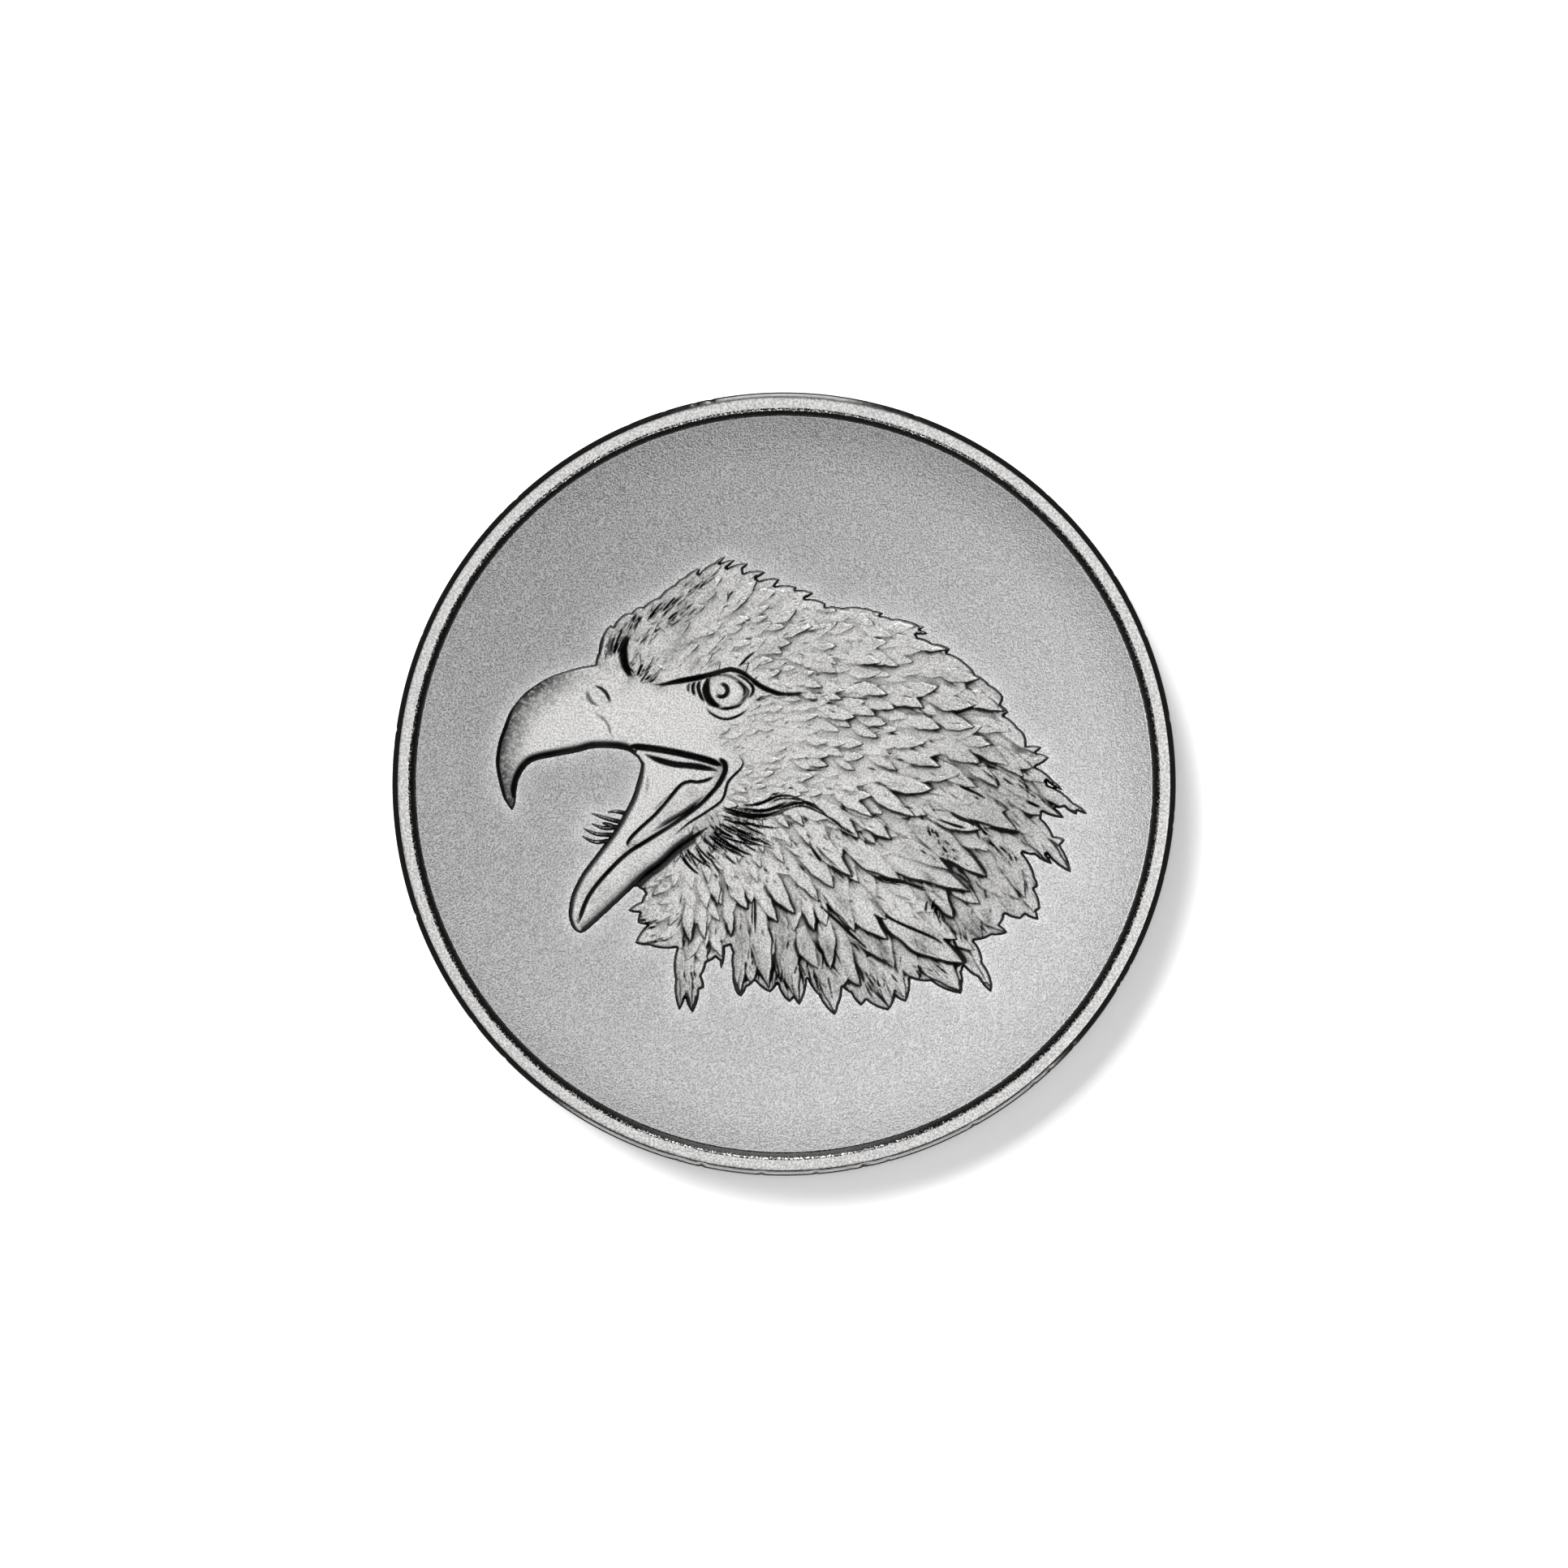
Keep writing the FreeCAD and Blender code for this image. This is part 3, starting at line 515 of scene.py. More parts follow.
def plumage_at(x, y):
    """Direction in radians and feather length at a point, from the nearest plumage marks."""
    mark = np.array(PLUMAGE, float)
    weight = 1 / ((mark[:, 0] - x) ** 2 + (mark[:, 1] - y) ** 2 + 0.15) ** 2
    angle = np.radians(mark[:, 2])
    turn = math.atan2(weight @ np.sin(angle), weight @ np.cos(angle))
    return turn, weight @ mark[:, 3] / weight.sum()


def scattered(rng, tries, inside, skin, margin, skin_limit):
    """Random spots on the plumage, inside the head's outline by a margin and clear of the bare skin."""
    for x, y in rng.uniform((LEFT, BOTTOM), (RIGHT, TOP), (tries, 2)):
        column, row = int((x - LEFT) / GRID), int((y - BOTTOM) / GRID)
        if inside[row, column] >= margin and skin[row, column] <= skin_limit:
            yield x, y


def feather(layer, root, tip, width, lift, rng, barb=0.003):
    """Lays one feather on the layer: it rises from its root to a pointed tip, with a steep edge that is
    highest on the side away from the light."""
    root, tip = np.array(root, float), np.array(tip, float)
    length = np.hypot(*(tip - root))
    c, s = (tip - root) / length
    part = window([root, tip], width)
    dx, dy = X[part] - root[0], Y[part] - root[1]
    u = (dx * c + dy * s) / length                          # 0 at the root, 1 at the tip
    bend = rng.uniform(-0.08, 0.08) * length
    across = dy * c - dx * s - 4 * bend * u * (1 - u)
    wave = rng.uniform(0, 6.28, 5)
    ragged = 1 + 0.05 * np.sin(9 * u + wave[0]) + 0.05 * np.sin(21 * u + wave[1])
    body = np.clip(1 - np.clip(u, 0, 1) ** 2.4, 0, 1) ** 0.8 * (0.55 + 0.45 * smooth(u / 0.45))
    half = width / 2 * body * ragged + TINY
    share = across / half                                   # 0 on the quill, 1 and -1 at the edges
    edge = smooth((half - np.abs(across)) / (0.07 + 0.015 * length))
    spread = across / (0.25 + 0.75 * body)
    fineness = 1 / math.sqrt(width)
    barbs = np.sin(spread * 30 * fineness + 3 * u * np.sign(across) + wave[2])
    barbs += 0.8 * np.sin(spread * 52 * fineness + 5 * u + wave[3])
    barbs *= 0.6 + 0.4 * np.sin(7 * u + 3 * share + wave[4])
    lit = (LIGHT_SIDE[1] * c - LIGHT_SIDE[0] * s) * np.clip(share, -1, 1)
    rise = lift * (0.12 + 0.88 * np.clip(u, 0, 1) ** 1.2) * (0.78 - 0.45 * lit - 0.15 * share**2)
    shape = np.where((u > 0) & (u < 1), (rise + barb * barbs * smooth(u / 0.3)) * edge, 0)
    layer[part] = np.maximum(layer[part], shape)


def plumage(inside, skin):
    """All the feathers as one layer: small ones scattered along the flow, then the large ones."""
    rng = np.random.default_rng(SEED)
    layer = np.zeros(X.shape)
    placed = np.full((1, 2), np.inf)
    for x, y in scattered(rng, FEATHER_TRIES, inside, skin, -0.2, 0.1):
        turn, length = plumage_at(x, y)
        length *= rng.uniform(0.8, 1.3)
        if np.min(np.hypot(placed[:, 0] - x, placed[:, 1] - y)) < FEATHER_SPACING * length:
            continue
        placed = np.vstack([placed, (x, y)])
        reach = length * toward(turn + rng.normal(0, 0.25))
        lift = (0.02 + 0.08 * length) * rng.uniform(0.4, 1.4)
        width = length**0.85 * rng.uniform(0.42, 0.56)
        feather(layer, (x, y) - 0.6 * reach, (x, y) + 0.4 * reach, width, lift, rng)
    for x0, y0, x1, y1, width in LONG_FEATHERS:
        lift = 0.15 + 0.055 * math.hypot(x1 - x0, y1 - y0) + rng.uniform(0, 0.08)
        feather(layer, (x0, y0), (x1, y1), width, lift, rng, barb=0.006)
    return layer


def sculpt_hairs(height, inside, skin):
    """Short fine scratches along the plumage."""
    rng = np.random.default_rng(SEED + 3)
    for x, y in scattered(rng, HAIR_TRIES, inside, skin, 0.25, -0.15):
        turn, length = plumage_at(x, y)
        turn += rng.normal(0, 0.22)
        reach = length * rng.uniform(0.12, 0.32) * toward(turn)
        bow = rng.uniform(-0.2, 0.2) * reach[::-1] * (-1, 1)
        hair = [(x, y) - reach, (x, y) + bow, (x, y) + reach]
        groove(height, hair, rng.uniform(0.045, 0.08), rng.uniform(0.01, 0.06), taper=0.5)


def sculpt_body():
    """The head's main form above the field: it rounds up from the outer edge of the head only, so that the
    beak's cutting edge stays sharp. The beak is rounded more tightly than the feathered part."""
    away = distance_to(outer_edge(), FAR)
    on_beak = smooth((-7.6 - X) / 3.4)
    reach = BODY_REACH + (BEAK_REACH - BODY_REACH) * on_beak
    return EDGE_HEIGHT + BODY_HEIGHT * (1 - np.exp(-away / reach))


def sculpt_jaw(height):
    """The near half of the lower jaw, a rounded bar in front of the far half."""
    part, distance, place, side = along(curve(JAW_UNDER[::-1] + JAW_BELOW[1:]), 1.2)
    under = smooth(1 - distance / 0.55)
    height[part] -= 0.15 * under * smooth(place / 0.04) * smooth((1 - place) / 0.2) * (side > 0)
    groove(height, JAW_BELOW, 0.14, 0.25, taper=0.25)


def sculpt_mouth(height):
    """The open mouth: the lowered far side, the palate, the tongue and the lip round the corner."""
    beyond = [(-7.9, 1.3), (-8.8, -0.6), (-11.8, -5.0), (-11.8, -7.7)]
    depth = depth_inside(np.vstack([curve(JAW_LINE)[:-1], curve(UPPER_LIP[::-1]), beyond]), 0.6)
    height -= 0.2 * smooth(0.5 + depth / 0.2)
    for line in MOUTH_GROOVES:
        groove(height, *line)
    ledge(height, TONGUE_TOP[::-1], 0.12, 0.6, taper=0.15)
    ledge(height, LIP_OUTER[::-1], 0.06, 0.4, taper=0.12)


def sculpt_eye(height):
    """Eyeball, pupil, lids and the heavy brow above them."""
    depth = depth_inside(curve(EYE_OPENING), 0.8)
    height -= 0.12 * smooth(0.5 + depth / 0.14)
    ball = np.hypot(X - EYEBALL[0], Y - EYEBALL[1]) / EYEBALL_RADIUS
    height += 0.14 * np.sqrt(np.clip(1 - ball**2, 0, 1)) * smooth(depth / 0.1)
    reach = np.hypot(X - PUPIL[0], Y - PUPIL[1])
    shade = 0.5 + 0.5 * (X - PUPIL[0] - 0.4 * (Y - PUPIL[1])) / np.maximum(reach, TINY)
    height -= 0.17 * smooth(1 - np.abs(reach - PUPIL_RADIUS) / 0.14) * (0.1 + 0.9 * smooth(shade * 1.4))
    for line in EYE_GROOVES:
        groove(height, *line)
    ledge(height, BROW, 0.16, 0.8, wall=0.14, taper=0.12)


def sculpt_nostril(height):
    """The nostril: an oval swelling with a dark slit behind it, and the edge of the cere."""
    for line in NOSTRIL_GROOVES:
        groove(height, *line)
    ledge(height, [(-8.85, 4.1), (-9.1, 4.65), (-9.5, 4.95)], 0.06, 0.35)


def sculpt_creases(height):
    """The deep folds of the throat, the forehead and the neck, with the fine hairs round them."""
    rng = np.random.default_rng(SEED + 1)
    for line in CREASE_GROOVES:
        groove(height, *line)
    for line in SKETCHES:
        sketch(height, rng, *line)
    for hairs in COMBS:
        comb(height, rng, *hairs)


def hollows(height, inside):
    """Painted shade from the relief's own shape: how dark each spot is painted in small hollows, in large
    ones away from the head's edge, and on steep sides, less so where they face the light. Hollows count for
    more on the fringe, which is the neck's low end and the back."""
    slope_y, slope_x = np.gradient(height, GRID)
    slope = np.hypot(slope_x, slope_y)
    facing = -(slope_x * LIGHT_SIDE[0] + slope_y * LIGHT_SIDE[1]) / np.maximum(slope, TINY)
    fringe = np.maximum(smooth((-5.5 - Y) / 4), 0.6 * smooth((X - 8) / 3) * smooth((3 - Y) / 3))
    small = np.clip((blur(height, 0.18) - height) / (0.06 - 0.03 * fringe), 0, 1)
    large = np.clip((blur(height, 0.5) - height) / (0.24 - 0.1 * fringe), 0, 0.85)
    steep = smooth((slope - 0.4) / 0.8) * (0.95 - 0.3 * np.clip(facing, 0, 1))
    return np.maximum(np.maximum(small, large * smooth(inside / 0.6)), steep)


def stipple():
    """Painted shade made of fine dark grains: down the beak's upper edge and where the plumage is shaded.
    """
    rng = np.random.default_rng(SEED + 4)
    grains = blur(rng.normal(0, 1, X.shape), GRID)
    grains /= grains.std()
    culmen = distance_to(curve(CULMEN), FAR)
    # Painted shade down the beak's rounded upper edge, fading towards the forehead
    tone = (1 - culmen / 1.6).clip(0, 1) * smooth((-8.6 - X) / 4.0)
    for x, y, radius, strength in SHADES:
        tone = np.maximum(tone, strength * np.exp(-((X - x) ** 2 + (Y - y) ** 2) / radius**2))
    for x, y, radius, count, strength in SHADE_STROKES:
        for place in rng.normal((x, y), radius / 2, (count, 2)):
            shade_stroke(tone, place, strength * rng.uniform(0.5, 1.2), rng.uniform(0.55, 1.0))
    return tone * (0.55 + 0.45 * smooth((grains + 1.6 * tone) / 1.6))


def shade_stroke(tone, place, strength, length):
    """A soft stroke of painted shade along the plumage, about a third as wide as it is long."""
    part = window([place], 2.2 * length)
    turn, _ = plumage_at(*place)
    c, s = toward(turn)
    dx, dy = X[part] - place[0], Y[part] - place[1]
    u = (dx * c + dy * s) / length
    v = 3.2 * (dy * c - dx * s) / length
    tone[part] = np.maximum(tone[part], strength * np.exp(-(u**2) - v**2))


def sculpt_head():
    """The head's relief: depth inside its outline, height above the field, and how much painted shade each
    spot gets.
    """
    inside = depth_inside(head_outline(), FAR)
    for wisp in WISPS:
        inside = np.maximum(inside, depth_inside(spindle(wisp, WISP_WIDTH), FAR))
    skin = depth_inside(BARE_SKIN, 1.5)
    height = sculpt_body()
    for line in EDGE_GROOVES:
        groove(height, *line)
    height += plumage(inside, skin) * smooth(0.5 - skin / 0.7)
    sculpt_hairs(height, inside, skin)
    for sculpt in (sculpt_jaw, sculpt_mouth, sculpt_eye, sculpt_nostril, sculpt_creases):
        sculpt(height)
    height *= 1 - OUTER_DROP * (X**2 + Y**2) / DROP_RADIUS**2
    height = np.maximum(height, LEAST_HEIGHT) * smooth(inside / WALL)
    # Painted shade: from the relief's own shape, from stippled spots and strokes, and dark lines along
    # edges and creases
    dark = np.maximum(hollows(height, inside), stipple())
    for line in BLACK_LINES:
        blacken(dark, *line)
    return inside, height, dark


# ---- pieces ----------------------------------------------------------------------------------------

SINK = 0.04                 # how far the foot of the head's wall dips below the field
RING_SEGMENTS = 768
FIELD_SEGMENTS = 512
FIELD_STEP = 0.16           # spacing of the field's rings inside its lip
LIP_START = 15.5            # from here out the field's rings are closer
# The field's lighter tone near the head is a painted highlight
HALO_REACH = 0.4            # how far the field's lighter tone reaches from the head
BEVEL = 0.33                # bevel of the rim's outer corners
RIM_WALL_REACH = 0.31       # width of the sloping wall inside the rim
WALL_SOFTENING = 0.06       # how far that wall's softened upper edge runs into the flat
RIM_FLAT_START = 0.08       # where the level part of the flat starts, outside the wall
INNER_MARGIN = 0.1          # the rim's marked inner part starts this far inside its bevels
REVERSE_WALL = 0.4          # depth of the reverse's wall
BORE_HEIGHTS = (2.4, 1.8, 1.2)
NICKS = 46                  # how many tiny nicks the coin's outer corners and side have

# The reverse: its grid, bowl and star, and the wreath, whose degrees count from the bottom up either side
REVERSE_GRID = 0.11
BOWL = 1600.0               # the reverse's hollow is the square of a radius divided by this
STAR_OUTER, STAR_INNER, STAR_PEAK = 5.6, 2.3, 0.45
WREATH_RADIUS, WREATH_END = 12.2, 158
LEAF_PAIRS, FIRST_LEAF, LAST_LEAF = 10, 12, 152
LEAF_LENGTH, LEAF_WIDTH, LEAF_HEIGHT, LEAF_LEAN = 3.3, 1.25, 0.26, 24


def new_mesh(name, points, faces, **attributes):
    """A smooth-shaded mesh object from points in millimetres and the corners of its faces, four by four,
    with one value per point for each attribute."""
    mesh = bpy.data.meshes.new(name)
    mesh.from_pydata((points * MM).astype(np.float32), [], faces.reshape(-1, 4), shade_flat=False)
    for label, values in attributes.items():
        layer = mesh.attributes.new(label, "FLOAT", "POINT")
        layer.data.foreach_set("value", np.asarray(values, np.float32))
    mesh.validate()
    piece = bpy.data.objects.new(name, mesh)
    bpy.context.scene.collection.objects.link(piece)
    return piece


def sheet(name, x, y, z, solid, sunk, corners):
    """A mesh of those squares of a grid that have a solid corner. Corners is the order of theirs."""
    keep = solid[:-1, :-1] | solid[1:, :-1] | solid[:-1, 1:] | solid[1:, 1:]
    index = np.arange(x.size).reshape(x.shape)
    square = [index[:-1, :-1], index[:-1, 1:], index[1:, 1:], index[1:, :-1]]
    used, faces = np.unique(np.stack([square[k] for k in corners], axis=-1)[keep], return_inverse=True)
    points = np.stack([x, y, z], axis=-1).reshape(-1, 3)[used]
    # Each point carries how much painted shade its material mixes in.
    return new_mesh(name, points, faces, sunk=sunk.ravel()[used])


def turned(name, profile, segments, marks, change=None):
    """A closed profile of (radius, height) points turned round the coin's axis. Change moves points, and
    marks works out the mesh's attributes from them."""
    profile = np.array(profile, float)
    angle = np.linspace(0, 2 * np.pi, segments, endpoint=False)
    radius = np.repeat(profile[:, :1], segments, axis=1)
    height = np.repeat(profile[:, 1:], segments, axis=1)
    if change:
        radius, height = change(radius, height, np.broadcast_to(angle, radius.shape))
    points = np.stack([radius * np.cos(angle), radius * np.sin(angle), height], axis=-1).reshape(-1, 3)
    low = np.arange(radius.size).reshape(radius.shape)
    high = np.roll(low, -1, 0)
    faces = np.stack([low, np.roll(low, -1, 1), np.roll(high, -1, 1), high], axis=-1)
    return new_mesh(name, points, faces, **marks(points))


def build_relief(inside, height, sunk):
    """The eagle's head as a height field, cut off exactly at its outline."""
    slope_y, slope_x = np.gradient(inside, GRID)
    outside = inside <= 0
    x = X - np.where(outside, inside * slope_x, 0)
    y = Y - np.where(outside, inside * slope_y, 0)
    z = dish(np.hypot(x, y)) + np.where(outside, -SINK, height)
    return sheet("eagle_relief", x, y, z, ~outside, sunk, (0, 1, 2, 3))


def build_field(inside):
    """The core disc, with a mark on its dish of how near each spot is to the head or to the rim, for a
    painted highlight there.
    """
    centre = 0.02
    wide, lip = np.arange(centre, LIP_START, FIELD_STEP), np.linspace(LIP_START, FIELD_RADIUS, 40)
    profile = [(centre, CORE_BACK_Z), (FIELD_RADIUS, CORE_BACK_Z)]
    profile += [(r, float(dish(r))) for r in [*lip[::-1], *wide[::-1]]]

    def halo(points):
        column = np.clip(((points[:, 0] - LEFT) / GRID).round().astype(int), 0, X.shape[1] - 1)
        row = np.clip(((points[:, 1] - BOTTOM) / GRID).round().astype(int), 0, X.shape[0] - 1)
        near_head = np.exp(-np.maximum(-inside[row, column], 0) / HALO_REACH)
        near_rim = smooth(1 - (FIELD_RADIUS - np.hypot(points[:, 0], points[:, 1])) / 0.1)
        # Close to the rim the mark is stronger, for a thin painted highlight where the dish meets the rim's
        # wall
        return {"halo": np.maximum(near_head, 1.6 * near_rim)}

    return turned("coin_field", profile, FIELD_SEGMENTS, halo)


def bevel(flat_z, inward):
    """The rim's bevelled outer corner in section, from the coin's side to its flat."""
    shape = [(0.0, 1.0), (0.03, 0.84), (0.25, 0.6), (0.5, 0.36), (0.75, 0.13), (0.88, 0.03), (1.0, 0.0)]
    return [(COIN_RADIUS - BEVEL * across, flat_z + inward * BEVEL * drop) for across, drop in shape]


def soft_wall(inner, flat_z, foot_z):
    """The sloping wall inside a rim, from a softened edge at the flat to a crisp foot."""
    t = np.linspace(0, 1, 12)
    top = inner + WALL_SOFTENING
    return list(zip(top - (top - FIELD_RADIUS) * t, flat_z + (foot_z - flat_z) * t**1.7))


def nicked(radius, height, angle):
    """Tiny nicks in the coin's outer corners that run on down its side, as handling leaves them."""
    rng = np.random.default_rng(SEED + 2)
    at_edge = smooth((radius - COIN_RADIUS + 0.25) / 0.2)
    places, sizes = rng.uniform(0, 2 * np.pi, NICKS), rng.uniform(0.05, 0.22, NICKS)
    for place, size, depth in zip(places, sizes, rng.uniform(0.01, 0.05, NICKS)):
        turn = np.abs((angle - place + np.pi) % (2 * np.pi) - np.pi) * COIN_RADIUS
        dent = depth * smooth(1 - turn / size) * at_edge
        radius = radius - dent
        height = height + np.where(height > COIN_THICKNESS / 2, -dent, dent) * 0.6
    return radius, height


def build_rim():
    """The outer ring: bevelled outer corners, flat rims, soft-edged inner walls and the bore. Points away
    from the outer corners are marked as inner ones."""
    inner = FIELD_RADIUS + RIM_WALL_REACH
    outer = COIN_RADIUS - BEVEL
    flat = np.linspace(outer, inner + RIM_FLAT_START, 6)
    profile = [(COIN_RADIUS, z) for z in np.linspace(BEVEL, COIN_THICKNESS - BEVEL, 14)[:-1]]
    profile += bevel(COIN_THICKNESS, -1)
    profile += [(r, COIN_THICKNESS) for r in flat[1:]]
    profile += soft_wall(inner, COIN_THICKNESS, FIELD_EDGE_Z)
    profile += [(FIELD_RADIUS, z) for z in BORE_HEIGHTS]
    profile += soft_wall(inner, 0, REVERSE_WALL)[::-1]
    profile += [(r, 0) for r in flat[:0:-1]]
    profile += bevel(0, 1)[::-1][:-1]

    def mark(points):
        return {"inner": np.hypot(points[:, 0], points[:, 1]) < outer - INNER_MARGIN}

    return turned("coin_rim", profile, RING_SEGMENTS, mark, nicked)


def star_height(x, y):
    """A faceted five-pointed star: each point has a ridge down its middle."""
    half_turn = math.pi / 5
    turn = (np.arctan2(x, y) + half_turn) % (2 * half_turn) - half_turn
    r = np.hypot(x, y)
    u, v = r * np.cos(turn), r * np.abs(np.sin(turn))
    notch_u, notch_v = STAR_INNER * math.cos(half_turn), STAR_INNER * math.sin(half_turn)
    edge = (STAR_OUTER - u) * notch_v - v * (STAR_OUTER - notch_u)
    return STAR_PEAK * np.clip(edge / (STAR_OUTER * notch_v), 0, 1)


def leaf_height(x, y, turn, side):
    """One laurel leaf with a recessed midrib, its stalk end on the wreath's circle."""
    place = math.radians(turn)
    root_x, root_y = WREATH_RADIUS * math.sin(place), -WREATH_RADIUS * math.cos(place)
    c, s = toward(place - side * math.radians(LEAF_LEAN))
    u = ((x - root_x) * c + (y - root_y) * s) / LEAF_LENGTH
    v = ((y - root_y) * c - (x - root_x) * s) / (LEAF_WIDTH / 2)
    rise = np.clip(np.clip(4 * u * (1 - u), 0, 1) - np.abs(v), 0, None)
    vein = 0.1 * smooth(1 - np.abs(v) / 0.16) + 0.03 * np.abs(np.sin(16 * (u - 0.3 * np.abs(v))))
    return np.where(rise > 0, LEAF_HEIGHT * smooth(rise / 0.3) - vein * smooth(rise / 0.4), 0)


def build_reverse():
    """The reverse disc: a dished field with the star and the laurel wreath struck on it."""
    reach = FIELD_RADIUS + REVERSE_GRID
    axis = np.arange(-reach, reach + REVERSE_GRID, REVERSE_GRID)
    x, y = np.meshgrid(axis, axis)
    r = np.hypot(x, y)
    pull = np.where(r > FIELD_RADIUS, FIELD_RADIUS / np.maximum(r, TINY), 1)
    x, y = x * pull, y * pull
    relief = star_height(x, y)
    for turn in FIRST_LEAF + (LAST_LEAF - FIRST_LEAF) * np.arange(LEAF_PAIRS) / (LEAF_PAIRS - 1):
        for side in (-1, 1):
            relief = np.maximum(relief, leaf_height(x, y, turn, side))
            relief = np.maximum(relief, leaf_height(-x, y, turn, side))
    stem = np.abs(np.hypot(x, y) - WREATH_RADIUS)
    on_stem = np.abs(np.degrees(np.arctan2(x, -y))) < WREATH_END
    relief = np.maximum(relief, 0.13 * smooth((0.2 - stem) / 0.12) * on_stem)
    bowl = REVERSE_WALL + (FIELD_RADIUS**2 - np.hypot(x, y) ** 2) / BOWL
    # How steep the design is at each point, which the reverse's material turns into painted shade
    steep = smooth((np.hypot(*np.gradient(relief, REVERSE_GRID)) - 0.1) / 0.7)
    return sheet("coin_reverse", x, y, bowl - relief, r < FIELD_RADIUS, steep, (0, 3, 2, 1))


# ---- materials -------------------------------------------------------------------------------------


class Shader:
    """Short hand for building a material's node tree."""

    def __init__(self, name):
        self.material = bpy.data.materials.new(name)
        self.material.use_nodes = True
        self.tree = self.material.node_tree
        self.bsdf = self.tree.nodes["Principled BSDF"]
        self.place = self.node("ShaderNodeTexCoord").outputs["Object"]

    def node(self, kind, **inputs):
        made = self.tree.nodes.new(kind)
        for key, value in inputs.items():
            self.feed(made.inputs[key.replace("_", " ")], value)
        return made

    def feed(self, socket, value):
        if isinstance(value, bpy.types.NodeSocket):
            self.tree.links.new(value, socket)
        else:
            socket.default_value = value

    def noise(self, size_mm, detail=2.0, roughness=0.5):
        """Noise with grains of about the given size."""
        made = self.node("ShaderNodeTexNoise", Vector=self.place, Scale=1 / (size_mm * MM),
                         Detail=detail, Roughness=roughness)
        return made.outputs["Fac"]

    def math(self, operation, a, b=0.0, clamp=False):
        made = self.tree.nodes.new("ShaderNodeMath")
        made.operation = operation
        made.use_clamp = clamp
        self.feed(made.inputs[0], a)
        self.feed(made.inputs[1], b)
        return made.outputs[0]

    def remap(self, value, low, high, to_low=0.0, to_high=1.0):
        made = self.node("ShaderNodeMapRange", Value=value, From_Min=low, From_Max=high,
                         To_Min=to_low, To_Max=to_high)
        return made.outputs[0]

    def mix(self, share, a, b):
        made = self.tree.nodes.new("ShaderNodeMix")
        made.data_type = "RGBA"
        for label, value in (("Factor", share), ("A", a), ("B", b)):
            self.feed(made.inputs[label], value)
        return made.outputs["Result"]

    def attribute(self, name):
        made = self.tree.nodes.new("ShaderNodeAttribute")
        made.attribute_name = name
        return made.outputs["Fac"]

    def bump(self, height, distance_mm, strength=1.0, normal=None):
        made = self.node("ShaderNodeBump", Height=height, Distance=distance_mm * MM, Strength=strength)
        if normal is not None:
            self.feed(made.inputs["Normal"], normal)
        return made.outputs["Normal"]

    def metal(self, color, roughness, normal):
        self.feed(self.bsdf.inputs["Base Color"], color)
        self.feed(self.bsdf.inputs["Metallic"], 1.0)
        self.feed(self.bsdf.inputs["Roughness"], roughness)
        self.feed(self.bsdf.inputs["Normal"], normal)
        return self.material


def grey(value, warmth=0.0, rose=0.0):
    """A grey that may lean to red against blue (warmth), and to both against green (rose)."""
    return (value * (1 + warmth + rose), value, value * (1 - warmth + rose), 1.0)


def relief_metal():
    """Sandblasted silver with painted shade in hollows, on edges and on steep sides, partly antiquing in
    deep recesses.
    """
    s = Shader("relief_silver")
    grain, speck = s.noise(0.09, 1), s.noise(0.06, 2)
    worn = s.noise(1.6, 3)
    # How much painted shade each spot gets, varied a little at random
    sunk = s.math("MULTIPLY", s.attribute("sunk"), s.remap(worn, 0.3, 0.7, 0.95, 1.02), clamp=True)
    unshaded = s.mix(s.remap(grain, 0.36, 0.62), grey(0.53, 0.009), grey(0.97, 0.009))
    # The painted shade: a near-black colour mixed in
    color = s.mix(sunk, unshaded, grey(0.006))
    roughness = s.math("ADD", s.remap(grain, 0.25, 0.75, 0.4, 0.54), s.math("MULTIPLY", sunk, 0.2))
    normal = s.bump(speck, 0.012, 1.0, s.bump(grain, 0.02))
    return s.metal(color, roughness, normal)


def field_metal():
    """Coarser frosting on the dish, smoother close to the head, with a painted highlight close to the head
    and at the rim's foot, and painted shading from darker at the upper left to lighter at the lower right."""
    s = Shader("field_frost")
    grain, coarse = s.noise(0.085, 1), s.noise(0.3, 2)
    halo = s.attribute("halo")
    # Painted shading: the dish's colour is darker towards the upper left and lighter towards the lower
    # right, as the key light falls across it
    across = s.node("ShaderNodeVectorMath")
    across.operation = "DOT_PRODUCT"
    s.feed(across.inputs[0], s.place)
    s.feed(across.inputs[1], (0.8, -0.6, 0))
    reach = FIELD_RADIUS * MM
    tone = s.remap(across.outputs["Value"], -reach, reach)
    base = s.mix(s.remap(grain, 0.36, 0.62), grey(0.25, -0.004, 0.014), grey(0.7, -0.004, 0.014))
    base = s.mix(tone, s.mix(0.5, base, grey(0.09)), s.mix(0.3, base, grey(0.95)))
    # Painted highlight: lighter close to the head and at the rim's foot
    color = s.mix(s.math("MULTIPLY", halo, 0.3), base, grey(0.85))
    roughness = s.math("SUBTRACT", s.remap(grain, 0.25, 0.75, 0.31, 0.39), s.math("MULTIPLY", halo, 0.05))
    normal = s.bump(coarse, 0.01, 0.8, s.bump(grain, 0.022))
    return s.metal(color, roughness, normal)


